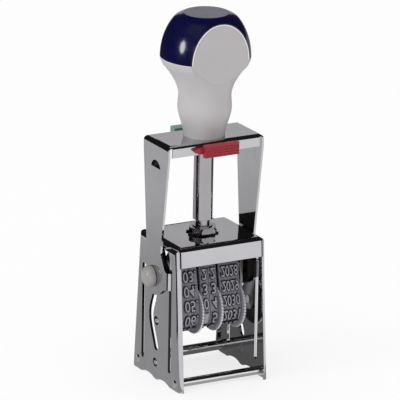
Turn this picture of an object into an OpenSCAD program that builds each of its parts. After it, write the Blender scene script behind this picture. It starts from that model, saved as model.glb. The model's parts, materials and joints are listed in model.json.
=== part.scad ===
// Self inking date stamp with a sheet metal frame, a press handle on a sliding bridge,
// a print unit that turns over on its way down, and an ink pad under the frame's top plate.
// Front is -Y, the handle stands along +Z, and the feet stand on Z = 0.

/* [Frame] */
// Width of the frame over its side plates
frame_w = 46; // [44:0.5:52]
// Height of the frame from the feet to its top plate
frame_h = 67; // [64:0.5:72]
// Depth of the frame at its top plate
frame_top_d = 35.8; // [34:0.2:38]
// Depth of the frame at its feet
frame_base_d = 46.2; // [44:0.2:52]
// Thickness of the frame's sheet
sheet = 1.2; // [1:0.1:1.4]
// Outer radius of the frame's bends
bend_r = 2.6; // [1.8:0.1:2.8]
// Width of the flanges along the slanted front and rear edges
flange_w = 2.2; // [2:0.1:3]
// Height of the apron across the front, under the top plate
apron_h = 9; // [7:0.5:10]
// Length of each scallop in the feet
scallop_w = 12.6; // [9:0.1:13]
// Depth of each scallop in the feet
scallop_h = 1.5; // [0.8:0.1:2]
// Distance of each scallop from the middle
scallop_y = 7.2; // [7:0.1:9]
// Radius of the rounded corners at the rear of the feet
rear_foot_r = 3; // [2:0.1:4]
// Diameter of the front tie rod
front_rod_d = 3.9; // [3.4:0.1:4.2]
// Diameter of the rear tie rod
rear_rod_d = 4.6; // [3.8:0.1:4.8]
// Diameter of the rods' ends in the side plates
rod_end_d = 2.4; // [1.8:0.1:2.6]
// Diameter of the riveted heads on the rods' ends
rod_head_d = 4; // [3.4:0.1:4.2]
// Thickness of those heads
rod_head_t = 0.4; // [0.3:0.1:0.6]
// Distance of the front rod from the front end of the feet
front_rod_inset = 5; // [4.6:0.1:6]
// Height of the front rod
front_rod_z = 3.4; // [3:0.1:4.5]
// Distance of the rear rod from the rear end of the feet
rear_rod_inset = 6.1; // [5.6:0.1:6.6]
// Height of the rear rod
rear_rod_z = 4.8; // [3.6:0.1:5.4]
// Diameter of the flush rivets in the side plates
rivet_d = 4.2; // [3:0.1:4.4]
// How far those rivets stand out of the plates
rivet_proud = 0.2; // [0.1:0.05:0.25]
// Distance of the upper rivet below the middle of the pivot's travel
upper_rivet_drop = 1.8; // [1.2:0.1:2.4]
// Distance of the lower rivet behind the middle
lower_rivet_y = 0.7; // [0:0.1:1.6]
// Distance of the lower rivet below the cam pin's lowest place
lower_rivet_drop = 8; // [7.6:0.1:9]

/* [Guide slots] */
// Distance of the straight guide slots from the middle
guide_y = 12.7; // [12.5:0.1:13.2]
// Play of the lugs in those slots
guide_play = 0.7; // [0.4:0.1:0.9]
// Width of the assembly windows at the top of the front slots
window_w = 6; // [5:0.1:6.6]
// How far the front windows reach beyond the middle of their slots
window_out = 1.6; // [1.2:0.1:2.2]
// How far the front windows lean inwards towards their top
window_lean = 3.8; // [2:0.1:5]
// Height of the front windows
window_h = 8.6; // [7.6:0.1:9]
// Distance of the front windows from the top of the frame
window_drop = 3; // [2.5:0.1:3.4]
// Width of the assembly windows at the top of the rear slots
rear_window_w = 5.2; // [4:0.1:6]
// Height of the rear windows over the rear lugs
rear_window_rise = 2.6; // [1:0.1:3]

/* [Bridge] */
// Height of the bridge's top over the frame's top, with the handle up
bridge_rise = 46.5; // [46:0.5:54]
// Depth of the bridge's top
bridge_d = 23.4; // [22.4:0.2:26]
// Thickness of the bridge's sheet
bridge_sheet = 1; // [0.9:0.1:1.2]
// Outer radius of the bridge's bends
bridge_bend_r = 2.2; // [1.8:0.1:2.4]
// Height of the flanges at the front and rear of the bridge
bridge_flange_h = 5.4; // [5:0.1:6]
// Distance of the arms' front edge from the middle at their neck
neck_front = 5.4; // [4.6:0.1:7]
// Distance of the arms' rear edge from the middle at their neck
neck_rear = 7.6; // [6:0.1:8.4]
// Height of the neck over the print unit's pivot
neck_rise = 13; // [10:0.5:16]
// Radius of the arms' round feet
foot_r = 8; // [7:0.1:9]
// Height of the front lugs, which run in the front guide slots
lug_h = 8; // [7:0.1:8.4]
// Height of the rear lugs
rear_lug_h = 3.2; // [3:0.1:4.4]
// Distance of the arms' front edge from the middle over the lugs
ledge_front = 9.4; // [8:0.1:10]
// Distance of the arms' rear edge from the middle over the lugs
ledge_rear = 7.8; // [7.6:0.1:10]
// How far those places lie over the lugs
ledge_rise = 0.9; // [0.4:0.1:1.4]
// How far the lugs reach below the pivot
lug_drop = 2.7; // [1.5:0.1:4]
// Width of the half round hole in each arm
arm_hole_w = 8.7; // [5:0.1:12]
// Height of the half round hole in each arm
arm_hole_h = 3.5; // [2:0.1:5]
// Distance of that hole from the top of the bridge
arm_hole_drop = 12.4; // [10:0.1:20]
// Diameter of the glide buttons on the arms' feet
button_d = 10; // [7:0.1:10.4]
// Height of the glide buttons
button_h = 4.6; // [3:0.1:5]
// Height of the straight edge of the glide buttons
button_edge = 0.8; // [0.4:0.1:1]
// Distance of the glide buttons behind the pivot
button_y = 2.6; // [0:0.1:2.8]

/* [Guide post] */
// Diameter of the guide post
post_d = 9; // [8:0.1:9.2]
// Diameter of the post's stud in the top plate
stud_d = 6; // [4:0.1:6.6]
// How far the post reaches over the bridge's top, with the handle up
post_over = 1.5; // [0.8:0.1:4]
// Bevel at the top of the post
post_bevel = 0.6; // [0.2:0.1:1]
// Diameter of the post in its two lock grooves
groove_d = 6.4; // [5.8:0.1:6.8]
// Height of the lock grooves
groove_h = 3; // [2.6:0.1:3.4]
// Diameter of the washer at the foot of the post
washer_d = 15; // [13:0.5:17]
// Thickness of the washer
washer_t = 0.8; // [0.5:0.1:1.2]
// Width across flats of the nut on the washer
nut_af = 12; // [11.5:0.5:13]
// Height of the nut
nut_h = 2.6; // [2:0.1:3]
// Bevel around the top of the nut
nut_bevel = 1; // [0.6:0.1:1.2]
// Outer diameter of the bush in the bridge
bush_d = 11; // [10.8:0.1:12]
// Diameter of the flange of the bush
bush_flange_d = 13; // [12.5:0.5:13.5]
// Thickness of the flange of the bush
bush_flange_t = 0.8; // [0.6:0.1:1]
// How far the bush reaches into the grip
bush_reach = 7; // [4:0.5:10]

/* [Handle] */
// Radius of the grip at its base
grip_base_r = 9.4; // [8:0.1:11]
// Radius of the grip's belly
grip_belly_r = 12.3; // [11:0.1:13.5]
// Radius of the grip's waist
grip_waist_r = 12; // [10.5:0.1:13.2]
// Radius of the handle's head
head_r = 20.6; // [19.8:0.1:21.4]
// Height of the belly over the bridge
belly_rise = 13.5; // [9:0.5:15]
// Height of the waist over the bridge
waist_rise = 19; // [17:0.5:22]
// Height over the bridge where the grip's flare turns up into its lip
lip_rise = 33.4; // [32:0.1:34.4]
// How far the lip stands inside the head
lip_inset = 1.3; // [0.8:0.1:1.8]
// Height of the head's widest line over the bridge
head_rise = 37; // [36.5:0.5:37.5]
// Height of the handle's flat top over the bridge
top_rise = 57; // [56.5:0.5:58]
// Half height of the oval that the cap's sides follow
cap_oval = 25; // [24.4:0.1:25.6]
// Radius where the cap's sides turn into its shoulder
shoulder_r = 15; // [14.7:0.1:15.6]
// Radius of the cap's flat top
top_flat_r = 10.3; // [9:0.1:11]
// Slope of the shoulder at the flat top's edge, in degrees
edge_slope = 18; // [10:1:24]
// Distance of the flats at the front and rear from the middle
flat_y = 14.2; // [13.4:0.1:14.4]
// Thickness of the cap's rim around the arches in the flats
arch_rim = 0.5; // [0.4:0.05:0.7]
// Height of the bore over the bridge
bore_rise = 48; // [46:0.5:49]
// Diameter of the return spring's wire
wire_d = 0.8; // [0.6:0.05:0.9]
// Mean diameter of the return spring
spring_d = 7; // [5:0.1:7.4]
// Turns of the return spring
spring_turns = 7; // [4:1:8]

/* [Lock] */
// Travel of the lock slide
lock_travel = 2.9; // [2.4:0.1:3]
// Half width of the lock bar
lock_bar_half = 7; // [6.4:0.1:8]
// Thickness of the lock bar
lock_bar_t = 1.6; // [1.2:0.1:1.8]
// Distance of the lock bar's top under the top of the bridge
lock_drop = 2.3; // [2.3:0.1:2.6]
// Half width of the lock buttons
lock_button_half = 8.7; // [7:0.1:9]
// Height of the front button
lock_button_h = 5.8; // [4:0.1:6]
// How far the front button's middle lies under its tongue's middle
lock_button_drop = 0.6; // [0.4:0.1:0.8]
// Thickness of the front button
lock_button_t = 2.4; // [2:0.1:3]
// Ribs on the front button
lock_ribs = 5; // [3:1:6]
// Height of the rear button
release_button_h = 6.6; // [5:0.1:7]
// Thickness of the rear button
release_button_t = 5; // [3:0.1:6]
// How far the rear button stands over the top of the bridge
release_over = 0.5; // [0.3:0.1:1.5]
// Corner radius of the rear button
release_corner = 1.5; // [1:0.1:2]
// Half width of the tongues behind the buttons
tongue_half = 11.4; // [9.6:0.1:11.8]
// Height of those tongues
tongue_h = 2.4; // [2.2:0.1:2.6]

/* [Print unit] */
// Distance of the printing face from the pivot
type_reach = 11; // [10.4:0.1:12]
// Height of the raised type on the bands
type_relief = 0.8; // [0.4:0.1:1]
// Thickness of the rubber bands
band_t = 1.2; // [0.8:0.1:1.4]
// Width of the month and year bands
wide_band_w = 10.2; // [9:0.1:10.6]
// Width of the two day bands
narrow_band_w = 4.1; // [3.4:0.1:4.4]
// Distance of the wheels' spindle from the pivot
spindle_reach = 17.5; // [17:0.1:19]
// Diameter of the spindle
spindle_d = 3; // [2.4:0.1:4]
// Radius of the wheels' drums under the bands
drum_r = 7.6; // [6:0.1:8]
// Radius of the wheels' knurled flanges
wheel_r = 11.8; // [11:0.1:12.2]
// Thickness of the knurled flanges
wheel_flange_t = 1; // [0.8:0.1:1.2]
// Teeth around each knurled flange
wheel_teeth = 48; // [24:4:72]
// Depth of those teeth
tooth_h = 0.45; // [0.2:0.05:0.7]
// Half width of the platen under the printing face
platen_half = 4.2; // [3:0.1:5]
// Corner radius of the bands at the platen
platen_corner = 1.2; // [0.6:0.1:1.6]
// Height of the platen
platen_h = 3.6; // [2.5:0.1:4]
// Thickness of the print unit's end plates
end_plate_t = 1.2; // [1:0.1:1.3]
// Half width of the end plates at the platen
end_half = 4.4; // [3.5:0.1:5.5]
// Radius of the end plates around the spindle
end_r = 4.6; // [3.5:0.1:6]
// Depth of the cross bar between the end plates
cross_d = 6; // [4:0.1:7]
// Height of the cross bar
cross_h = 4; // [3:0.1:4.6]
// Diameter of the pivot pins
pivot_d = 3.2; // [2.4:0.1:3.6]
// Distance of the cam pins from the pivot
cam_r = 5; // [4.8:0.1:5.6]
// Diameter of the cam pins
cam_pin_d = 3.4; // [2.8:0.1:3.6]
// Thickness of the carriers that hang on the bridge's lugs
carrier_t = 1; // [0.8:0.1:1.1]
// Width of the rim outside the carriers' arched slots
carrier_rim = 1.8; // [1.2:0.1:2.2]

/* [Ink pad] */
// Space for the ink pad and its tray under the top plate
pad_space = 5.5; // [5:0.1:6]
// Half width of the tray
tray_half = 17.6; // [17.2:0.1:17.8]
// Wall of the tray
tray_wall = 1.2; // [0.8:0.1:1.4]
// Width of the lips that hang the tray on its rails
tray_lip = 1.6; // [1.2:0.1:1.7]
// Thickness of those lips
tray_lip_t = 1.2; // [1:0.1:1.4]
// Thickness of the rails
rail_t = 1; // [0.8:0.1:1.2]
// How far the pad stands out of its tray
pad_proud = 0.7; // [0.3:0.1:1]
// Half length of the pad
pad_half = 12.5; // [10:0.5:13]
// Thickness of the pull at the rear of the tray
pull_t = 3; // [2:0.1:4]
// Height of the pull
pull_h = 7; // [5:0.5:8]

/* [Clearances] */
// Play between parts that slide past each other
play = 0.3; // [0.2:0.05:0.35]
// Gap between the side plates and the sheets beside them
side_gap = 0.5; // [0.4:0.05:0.6]
// Radial clearance of a turning or sliding fit
fit = 0.05; // [0.02:0.01:0.08]
// Seam between two pieces that are fixed together
seam = 0.1; // [0.05:0.05:0.2]
// Gap between a wheel's flange and the bands beside it
band_gap = 0.25; // [0.2:0.05:0.3]

/* [Hidden] */
$fn = 64;
eps = 0.01;
far = 200;

half_w = frame_w / 2;
slant = atan((frame_base_d - frame_top_d) / 2 / frame_h);
function half_d(z) = frame_top_d / 2 + (frame_h - z) * tan(slant);
front_rod_y = frame_base_d / 2 - front_rod_inset;
rear_rod_y = frame_base_d / 2 - rear_rod_inset;

// The print unit hangs so that its type just clears the ink pad
pad_z = frame_h - sheet - pad_space;
pivot_z = pad_z - play - type_reach;
stroke = pivot_z - type_reach;

// The bridge straddles the frame
arm_in = half_w + side_gap;
arm_out = arm_in + bridge_sheet;
bridge_z = frame_h + bridge_rise;
bridge_half_d = bridge_d / 2;
lug_z = pivot_z - lug_drop;
lug_out = guide_y + bridge_sheet / 2;
guide_slot_w = bridge_sheet + 2 * guide_play;
guide_slot_z = lug_z - stroke - play;
rear_lug_top = lug_z + rear_lug_h;
carrier_out = half_w - sheet - side_gap;
carrier_in = carrier_out - carrier_t;

cam_slot_w = cam_pin_d + 2 * play;
cam_steps = 24;
bend_steps = 5;

bore_r = post_d / 2 + 8 * fit;
bore_z = bridge_z + bore_rise;
post_top = bridge_z + post_over;
head_z = bridge_z + head_rise;
cap_h = top_rise - head_rise;
lip_r = head_r - lip_inset;

lock_bar_z = bridge_z - lock_drop - lock_bar_t;
lock_mid_z = lock_bar_z + lock_bar_t / 2;
keyhole_r = post_d / 2 + play;
groove_slot_r = groove_d / 2 + play;
flange_slot_half = tongue_half + play;
flange_slot_h = tongue_h + 2 * play;
lock_front = bridge_half_d + lock_travel + play;
lock_rear = bridge_half_d + play;
tongue_in = bridge_sheet + play;

spindle_z = pivot_z - spindle_reach;
band_in_r = drum_r + play;
band_top = pivot_z + type_reach - type_relief;
narrow_x = band_gap / 2;
narrow_flange_x = narrow_x + narrow_band_w + band_gap;
wide_x = narrow_flange_x + wheel_flange_t + band_gap;
wide_flange_x = wide_x + wide_band_w + band_gap;
stack_half = wide_flange_x + wheel_flange_t;
end_in = stack_half + 2 * play;
end_out = end_in + end_plate_t;

belt_steps = 32;
corner_steps = 6;

tray_top = frame_h - sheet - play;
rail_z = tray_top - tray_lip_t - play - rail_t;
tray_z = pad_z + pad_proud;
tray_front = half_d(pad_z) - sheet - 3 * play;
pull_y = half_d(tray_top) + play;

STEEL = "silver";
NICKEL = "gainsboro";
RUBBER = "slategray";
GREY = "lightgray";

// Shared shapes

function mix(a, b, t) = a * (1 - t) + b * t;

// Points of an arc around a middle, from one angle to another
function arc_points(mid, r, from, to, steps) =
  [for (i = [0:steps]) let (a = mix(from, to, i / steps)) mid + r * [cos(a), sin(a)]];

// An outline drawn in (Y, Z) and extruded along X from x0 to x1
module along_x(x0, x1) {
  translate([x0, 0, 0])
    rotate([90, 0, 90])
      linear_extrude(x1 - x0)
        children();
}

// A round bar along X
module bar_x(x0, x1, y, z, d) {
  translate([x0, y, z])
    rotate([0, 90, 0])
      cylinder(d = d, h = x1 - x0);
}

module both_sides() {
  children();
  mirror([1, 0, 0])
    children();
}

module both_ends() {
  children();
  mirror([0, 1, 0])
    children();
}

// A box between two corners
module box(low, high) {
  translate(low)
    cube(high - low);
}

// The piece of a sharp corner at the origin, open towards -X and -Y, that lies outside a fillet
module corner_waste(r) {
  difference() {
    translate([-r, -r])
      square(r + 1);
    translate([-r, -r])
      circle(r);
  }
}

// A slot with round ends along the first axis
module oblong(half_len, height) {
  square([2 * half_len - height, height], center = true);
  for (side = [-1, 1])
    translate([side * (half_len - height / 2), 0])
      circle(d = height);
}

// Frame

// Trapezoid of the frame's side, set in from its slanted edges
module frame_side(inset, z0, z1) {
  setback = inset / cos(slant);
  y0 = half_d(z0) - setback;
  y1 = half_d(z1) - setback;
  polygon([[-y0, z0], [y0, z0], [y1, z1], [-y1, z1]]);
}

// Path of a cam pin in the frame while the bridge goes down by the share t of its stroke
function cam_point(t) = [cam_r * sin(180 * t), pivot_z - stroke * t - cam_r * cos(180 * t)];
function cam_slope(t) = [cam_r * PI * cos(180 * t), cam_r * PI * sin(180 * t) - stroke];
function cam_side(t, side) =
  let (slope = cam_slope(t))
  cam_point(t) + side * cam_slot_w / 2 * [-slope[1], slope[0]] / norm(slope);

module cam_slot() {
  steps = [for (i = [0:cam_steps]) i / cam_steps];
  polygon(concat([for (t = steps) cam_side(t, 1)], [for (t = steps) cam_side(1 - t, -1)]));
  for (t = [0, 1])
    translate(cam_point(t))
      circle(d = cam_slot_w);
}

// A straight guide slot, up to the window through which its lug is put in
module guide_slot(top) {
  translate([guide_y - guide_slot_w / 2, guide_slot_z])
    square([guide_slot_w, top - guide_slot_z + eps]);
  translate([guide_y, guide_slot_z])
    circle(d = guide_slot_w);
}

// A front slot with its leaning window
module front_slot() {
  top = frame_h - window_drop;
  low = top - window_h;
  out = guide_y + window_out;
  guide_slot(low);
  polygon([
    [out - window_w, low],
    [out, low],
    [out - window_lean, top],
    [out - window_w - window_lean, top]
  ]);
}

// A rear slot with its square window, from the middle of the lug upwards
module rear_slot() {
  low = rear_lug_top - rear_lug_h / 2;
  guide_slot(low);
  translate([guide_y + guide_slot_w / 2 - rear_window_w, low])
    square([rear_window_w, rear_lug_h / 2 + rear_window_rise]);
}

// The waste at the rounded rear corner of a foot
module rear_foot_waste() {
  end = frame_base_d / 2;
  mid = [end - rear_foot_r, rear_foot_r];
  polygon(concat(
    arc_points(mid, rear_foot_r, -90, 0, bend_steps),
    [[end + 1, rear_foot_r], [end + 1, -1], [mid[0], -1]]
  ));
}

module foot_scallop() {
  r = (pow(scallop_w / 2, 2) + pow(scallop_h, 2)) / (2 * scallop_h);
  translate([scallop_y, scallop_h - r])
    circle(r);
}

// What the bends round off along the top edges and the slanted edges
module frame_bends() {
  both_sides()
    rotate([90, 0, 0])
      translate([half_w, frame_h, -far / 2])
        linear_extrude(far)
          corner_waste(bend_r);
  both_ends() {
    translate([-far / 2, frame_top_d / 2, frame_h])
      rotate([90, 0, 90])
        linear_extrude(far)
          slanted_corner_waste();
    both_sides()
      translate([half_w, frame_base_d / 2, 0])
        rotate([slant, 0, 0])
          translate([0, 0, -far / 2])
            linear_extrude(far)
              corner_waste(bend_r);
  }
}

// The waste at the rear top edge, where the slanted wall meets the top plate
module slanted_corner_waste() {
  reach = bend_r * tan(45 - slant / 2);
  mid = [-reach, -bend_r];
  arc = arc_points(mid, bend_r, 90, slant, bend_steps);
  polygon(concat([[2, 1], [-reach, 1]], arc, [[2, arc[bend_steps][1]]]));
}

// Middles of the flush rivets in a side plate
function rivet_points() = [
  [0, pivot_z - stroke / 2 - upper_rivet_drop],
  [lower_rivet_y, cam_point(1)[1] - lower_rivet_drop]
];

module frame_shell() {
  opening = half_w - flange_w;
  color(STEEL)
    difference() {
      along_x(-half_w, half_w)
        frame_side(0, 0, frame_h);
      along_x(-half_w + sheet, half_w - sheet)
        frame_side(sheet, -1, frame_h - sheet);
      frame_bends();
      box([-opening, -far, -1], [opening, 0, frame_h - apron_h]);
      box([-opening, 0, -1], [opening, far, frame_h - sheet]);
      along_x(-far, far) {
        cam_slot();
        rear_slot();
        mirror([1, 0])
          front_slot();
        rear_foot_waste();
        for (end = [0, 1])
          mirror([end, 0])
            foot_scallop();
        for (point = rivet_points())
          translate(point)
            circle(d = rivet_d);
      }
      bar_x(-far, far, -front_rod_y, front_rod_z, rod_end_d);
      bar_x(-far, far, rear_rod_y, rear_rod_z, rod_end_d);
      translate([0, 0, frame_h - 2 * sheet])
        cylinder(d = stud_d + 2 * fit, h = 3 * sheet);
    }
}

// A rod between the side plates, with shouldered ends riveted over outside
module tie_rod(y, z, d) {
  color(NICKEL) {
    bar_x(-half_w + sheet, half_w - sheet, y, z, d);
    bar_x(-half_w - eps, half_w + eps, y, z, rod_end_d - 2 * fit);
    both_sides()
      bar_x(half_w, half_w + rod_head_t, y, z, rod_head_d);
  }
}

module front_tie_rod() {
  tie_rod(-front_rod_y, front_rod_z, front_rod_d);
}

module rear_tie_rod() {
  tie_rod(rear_rod_y, rear_rod_z, rear_rod_d);
}

module side_rivets() {
  color(NICKEL)
    both_sides()
      for (point = rivet_points())
        bar_x(half_w - sheet, half_w + rivet_proud, point[0], point[1], rivet_d - 2 * fit);
}

// A ledge on the side plate, under the tray's lip
module right_pad_rail() {
  end = half_d(rail_z) - sheet - play;
  color(STEEL)
    box([tray_half + play, -end, rail_z], [half_w - sheet, end, rail_z + rail_t]);
}

module left_pad_rail() {
  mirror([1, 0, 0])
    right_pad_rail();
}

// Guide post and its fastening

module groove_ring(z) {
  translate([0, 0, z - groove_h / 2])
    difference() {
      cylinder(d = post_d + 1, h = groove_h);
      cylinder(d = groove_d, h = groove_h);
    }
}

module guide_post() {
  color(STEEL)
    difference() {
      union() {
        translate([0, 0, frame_h - sheet])
          cylinder(d = stud_d, h = sheet + eps);
        translate([0, 0, frame_h])
          cylinder(d = post_d, h = post_top - post_bevel - frame_h);
        translate([0, 0, post_top - post_bevel])
          cylinder(d1 = post_d, d2 = post_d - 2 * post_bevel, h = post_bevel);
      }
      groove_ring(lock_mid_z);
      groove_ring(lock_mid_z - stroke);
    }
}

module post_washer() {
  color(NICKEL)
    translate([0, 0, frame_h])
      difference() {
        cylinder(d = washer_d, h = washer_t);
        cylinder(d = post_d + 2 * fit, h = far, center = true);
      }
}

module post_nut() {
  corner_d = nut_af / cos(30);
  color(NICKEL)
    translate([0, 0, frame_h + washer_t])
      difference() {
        intersection() {
          cylinder(d = corner_d, h = nut_h, $fn = 6);
          cylinder(d1 = corner_d + nut_bevel, d2 = corner_d - nut_bevel, h = nut_h);
        }
        cylinder(d = post_d + 2 * fit, h = far, center = true);
      }
}

// Ink pad

module pad_tray() {
  color("dimgray") {
    difference() {
      union() {
        box([-tray_half, -tray_front, tray_z], [tray_half, pull_y + eps, tray_top]);
        box(
          [-tray_half - tray_lip, -tray_front, tray_top - tray_lip_t],
          [tray_half + tray_lip, pull_y, tray_top]
        );
      }
      box(
        [-tray_half + tray_wall, -pad_half - seam, tray_z - 1],
        [tray_half - tray_wall, pad_half + seam, tray_top - tray_wall]
      );
    }
    difference() {
      box([-tray_half, pull_y, tray_top - pull_h], [tray_half, pull_y + pull_t, tray_top]);
      translate([0, pull_y + pull_t, tray_top - pull_h])
        rotate([0, 90, 0])
          cylinder(r = pull_t / 2, h = far, center = true);
    }
  }
}

module ink_pad() {
  side = tray_half - tray_wall - seam;
  color("midnightblue")
    box([-side, -pad_half, pad_z], [side, pad_half, tray_top - tray_wall]);
}

// Bridge

// Half of an arm's outline: wide at the top, a tapered neck and a flared foot with the lug's strip
module arm_half(neck, ledge, lug_top) {
  strip_y = lug_out - bridge_bend_r;
  polygon([
    [-eps, bridge_z],
    [bridge_half_d, bridge_z],
    [bridge_half_d, bridge_z - bridge_flange_h],
    [neck, pivot_z + neck_rise],
    [ledge, lug_top + ledge_rise],
    [strip_y, lug_top],
    [strip_y, lug_z],
    [0, pivot_z - foot_r]
  ]);
}

// A lug's cross-section: the strip bends inwards and runs through the guide slot to the carrier
module lug_bend() {
  mid = [arm_out - bridge_bend_r, lug_out - bridge_bend_r];
  intersection() {
    translate(mid)
      square(bridge_bend_r + 1);
    translate(mid)
      difference() {
        circle(bridge_bend_r);
        circle(bridge_bend_r - bridge_sheet);
      }
  }
  translate([carrier_out, lug_out - bridge_sheet])
    square([mid[0] - carrier_out + eps, bridge_sheet]);
}

module half_round_hole() {
  r = (pow(arm_hole_w / 2, 2) + pow(arm_hole_h, 2)) / (2 * arm_hole_h);
  translate([0, bridge_z - arm_hole_drop])
    intersection() {
      translate([0, arm_hole_h - r])
        circle(r);
      translate([-arm_hole_w, 0])
        square([2 * arm_hole_w, arm_hole_h + 1]);
    }
}

module bridge_yoke() {
  flange_end = arm_out - bridge_bend_r;
  color(STEEL) {
    difference() {
      along_x(-arm_out, arm_out) {
        arm_half(neck_rear, ledge_rear, rear_lug_top);
        mirror([1, 0])
          arm_half(neck_front, ledge_front, lug_z + lug_h);
        translate([0, pivot_z])
          circle(foot_r);
      }
      box([-arm_in, -far, -far], [arm_in, far, bridge_z - bridge_sheet]);
      both_sides()
        rotate([90, 0, 0])
          translate([arm_out, bridge_z, -far / 2])
            linear_extrude(far)
              corner_waste(bridge_bend_r);
      along_x(-far, far)
        half_round_hole();
      translate([0, 0, bridge_z - 2 * bridge_sheet])
        cylinder(d = bush_d + 2 * fit, h = 3 * bridge_sheet);
    }
    both_ends()
      difference() {
        box(
          [-flange_end, bridge_half_d - bridge_sheet, bridge_z - bridge_flange_h],
          [flange_end, bridge_half_d, bridge_z - bridge_sheet + eps]
        );
        translate([0, 0, lock_mid_z])
          rotate([90, 0, 0])
            linear_extrude(far, center = true)
              oblong(flange_slot_half, flange_slot_h);
      }
    both_sides()
      translate([0, 0, lug_z]) {
        linear_extrude(rear_lug_h)
          lug_bend();
        mirror([0, 1, 0])
          linear_extrude(lug_h)
            lug_bend();
      }
  }
}

// A domed button on the outside of an arm's foot
module right_glide_button() {
  dome_h = button_h - button_edge;
  dome_r = (pow(button_d / 2, 2) + pow(dome_h, 2)) / (2 * dome_h);
  color("ivory")
    translate([arm_out, button_y, pivot_z])
      rotate([0, 90, 0]) {
        cylinder(d = button_d, h = button_edge + eps);
        translate([0, 0, button_edge])
          intersection() {
            cylinder(d = button_d, h = dome_h);
            translate([0, 0, dome_h - dome_r])
              sphere(dome_r);
          }
      }
}

module left_glide_button() {
  mirror([1, 0, 0])
    right_glide_button();
}

module guide_bush() {
  low = bridge_z - bridge_sheet - bush_flange_t;
  color("goldenrod")
    translate([0, 0, low])
      difference() {
        union() {
          cylinder(d = bush_flange_d, h = bush_flange_t);
          cylinder(d = bush_d, h = bush_flange_t + bridge_sheet + bush_reach);
        }
        cylinder(d = post_d + 2 * fit, h = far, center = true);
      }
}

// Handle

// A soft step from 0 to 1
function ease(t) = t * t * (3 - 2 * t);

// Radius of the grip at a height over the bridge
function grip_r(h) =
  h < belly_rise ? grip_base_r + (grip_belly_r - grip_base_r) * ease(h / belly_rise)
  : h < waist_rise
  ? grip_belly_r + (grip_waist_r - grip_belly_r) * ease((h - belly_rise) / (waist_rise - belly_rise))
  : h < lip_rise
  ? grip_waist_r + (lip_r - grip_waist_r) * pow((h - waist_rise) / (lip_rise - waist_rise), flare_power)
  : lip_r + lip_inset * sin(90 * (h - lip_rise) / (head_rise - lip_rise));

flare_power = 1.75;
grip_steps = 36;
cap_steps = 16;
shoulder_steps = 6;

module grip_profile() {
  polygon(concat(
    [[0, bridge_z]],
    [for (i = [0:grip_steps]) let (h = head_rise * i / grip_steps) [grip_r(h), bridge_z + h]],
    [[0, head_z]]
  ));
}

function oval_point(a) = [head_r * cos(a), cap_oval * sin(a)];

// Where the shoulder's slopes at its two ends meet, each given in degrees
function shoulder_knee(start, fall, end) =
  let (
    run = start[0] - end[0],
    rise = end[1] - start[1],
    reach = (run * sin(fall) - rise * cos(fall)) / sin(fall - edge_slope)
  )
  end + reach * [cos(edge_slope), -sin(edge_slope)];

// The cap's side from its rim upwards: an oval up to the shoulder, which curves to the flat top
function cap_points() =
  let (
    rim = asin(seam / cap_oval),
    turn = acos(shoulder_r / head_r),
    start = oval_point(turn),
    fall = atan(pow(cap_oval / head_r, 2) * start[0] / start[1]),
    end = [top_flat_r, cap_h],
    knee = shoulder_knee(start, fall, end)
  )
  concat(
    [for (i = [0:cap_steps]) oval_point(mix(rim, turn, i / cap_steps))],
    [
      for (i = [1:shoulder_steps])
        let (t = i / shoulder_steps)
        mix(mix(start, knee, t), mix(knee, end, t), t)
    ]
  );

module cap_profile() {
  translate([0, head_z])
    polygon(concat([[0, seam]], cap_points(), [[0, cap_h]]));
}

// The arch that a flat at some distance from the middle cuts out of the cap, from just under the head
module arch_outline(flat) {
  side = [for (p = cap_points()) if (p[0] > flat) [sqrt(p[0] * p[0] - flat * flat), p[1]]];
  half = concat([[side[0][0], -1]], side);
  last = len(half) - 1;
  polygon(concat(
    half,
    [[0, lookup(flat, cap_points())]],
    [for (i = [0:last]) [-half[last - i][0], half[last - i][1]]]
  ));
}

// A core across the handle, whose ends show as arches in the flats
module arch_core(flat, half_length) {
  translate([0, 0, head_z])
    rotate([90, 0, 0])
      linear_extrude(2 * half_length, center = true)
        arch_outline(flat);
}

// The space between the handle's flats
module between_flats() {
  box([-far, -flat_y, 0], [far, flat_y, far]);
}

module handle_grip() {
  color(GREY)
    difference() {
      union() {
        intersection() {
          rotate_extrude()
            grip_profile();
          between_flats();
        }
        arch_core(flat_y + arch_rim + seam, flat_y);
      }
      translate([0, 0, bridge_z - 1])
        cylinder(r = bore_r, h = bore_rise + 1);
      translate([0, 0, bridge_z - 1])
        cylinder(d = bush_d + 2 * fit, h = bush_reach + seam + 1);
    }
}

module handle_cap() {
  color("midnightblue")
    difference() {
      intersection() {
        rotate_extrude()
          cap_profile();
        between_flats();
      }
      arch_core(flat_y + arch_rim, far);
    }
}

// Return spring: one wire wound around the handle's axis, with straight ends against its seats

spring_low = post_top + seam;
spring_high = bore_z - seam;
rings_per_turn = 8;
wire_sides = 6;

function spring_path() =
  let (
    count = spring_turns * rings_per_turn,
    low = spring_low + wire_d,
    high = spring_high - wire_d,
    r = spring_d / 2
  )
  concat(
    [[r, 0, spring_low]],
    [
      for (i = [0:count])
        let (a = 360 * i / rings_per_turn)
        [r * cos(a), r * sin(a), mix(low, high, i / count)]
    ],
    [[r, 0, spring_high]]
  );

function unit(v) = v / norm(v);
function path_slope(path, i) =
  let (last = len(path) - 1)
  i == 0 || i == last ? [0, 0, 1] : unit(path[i + 1] - path[i - 1]);
function wire_ring(path, i) =
  let (
    slope = path_slope(path, i),
    side = unit(cross(slope, [path[i][0], path[i][1], 0])),
    out = cross(side, slope)
  )
  [
    for (k = [0:wire_sides - 1])
      let (a = 360 * k / wire_sides)
      path[i] + wire_d / 2 * (cos(a) * out + sin(a) * side)
  ];

function least_gap(path) =
  min([
    for (i = [0:len(path) - 1])
      for (j = [i + rings_per_turn - 1:1:len(path) - 1])
        norm(path[i] - path[j]) - wire_d
  ]);

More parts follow.
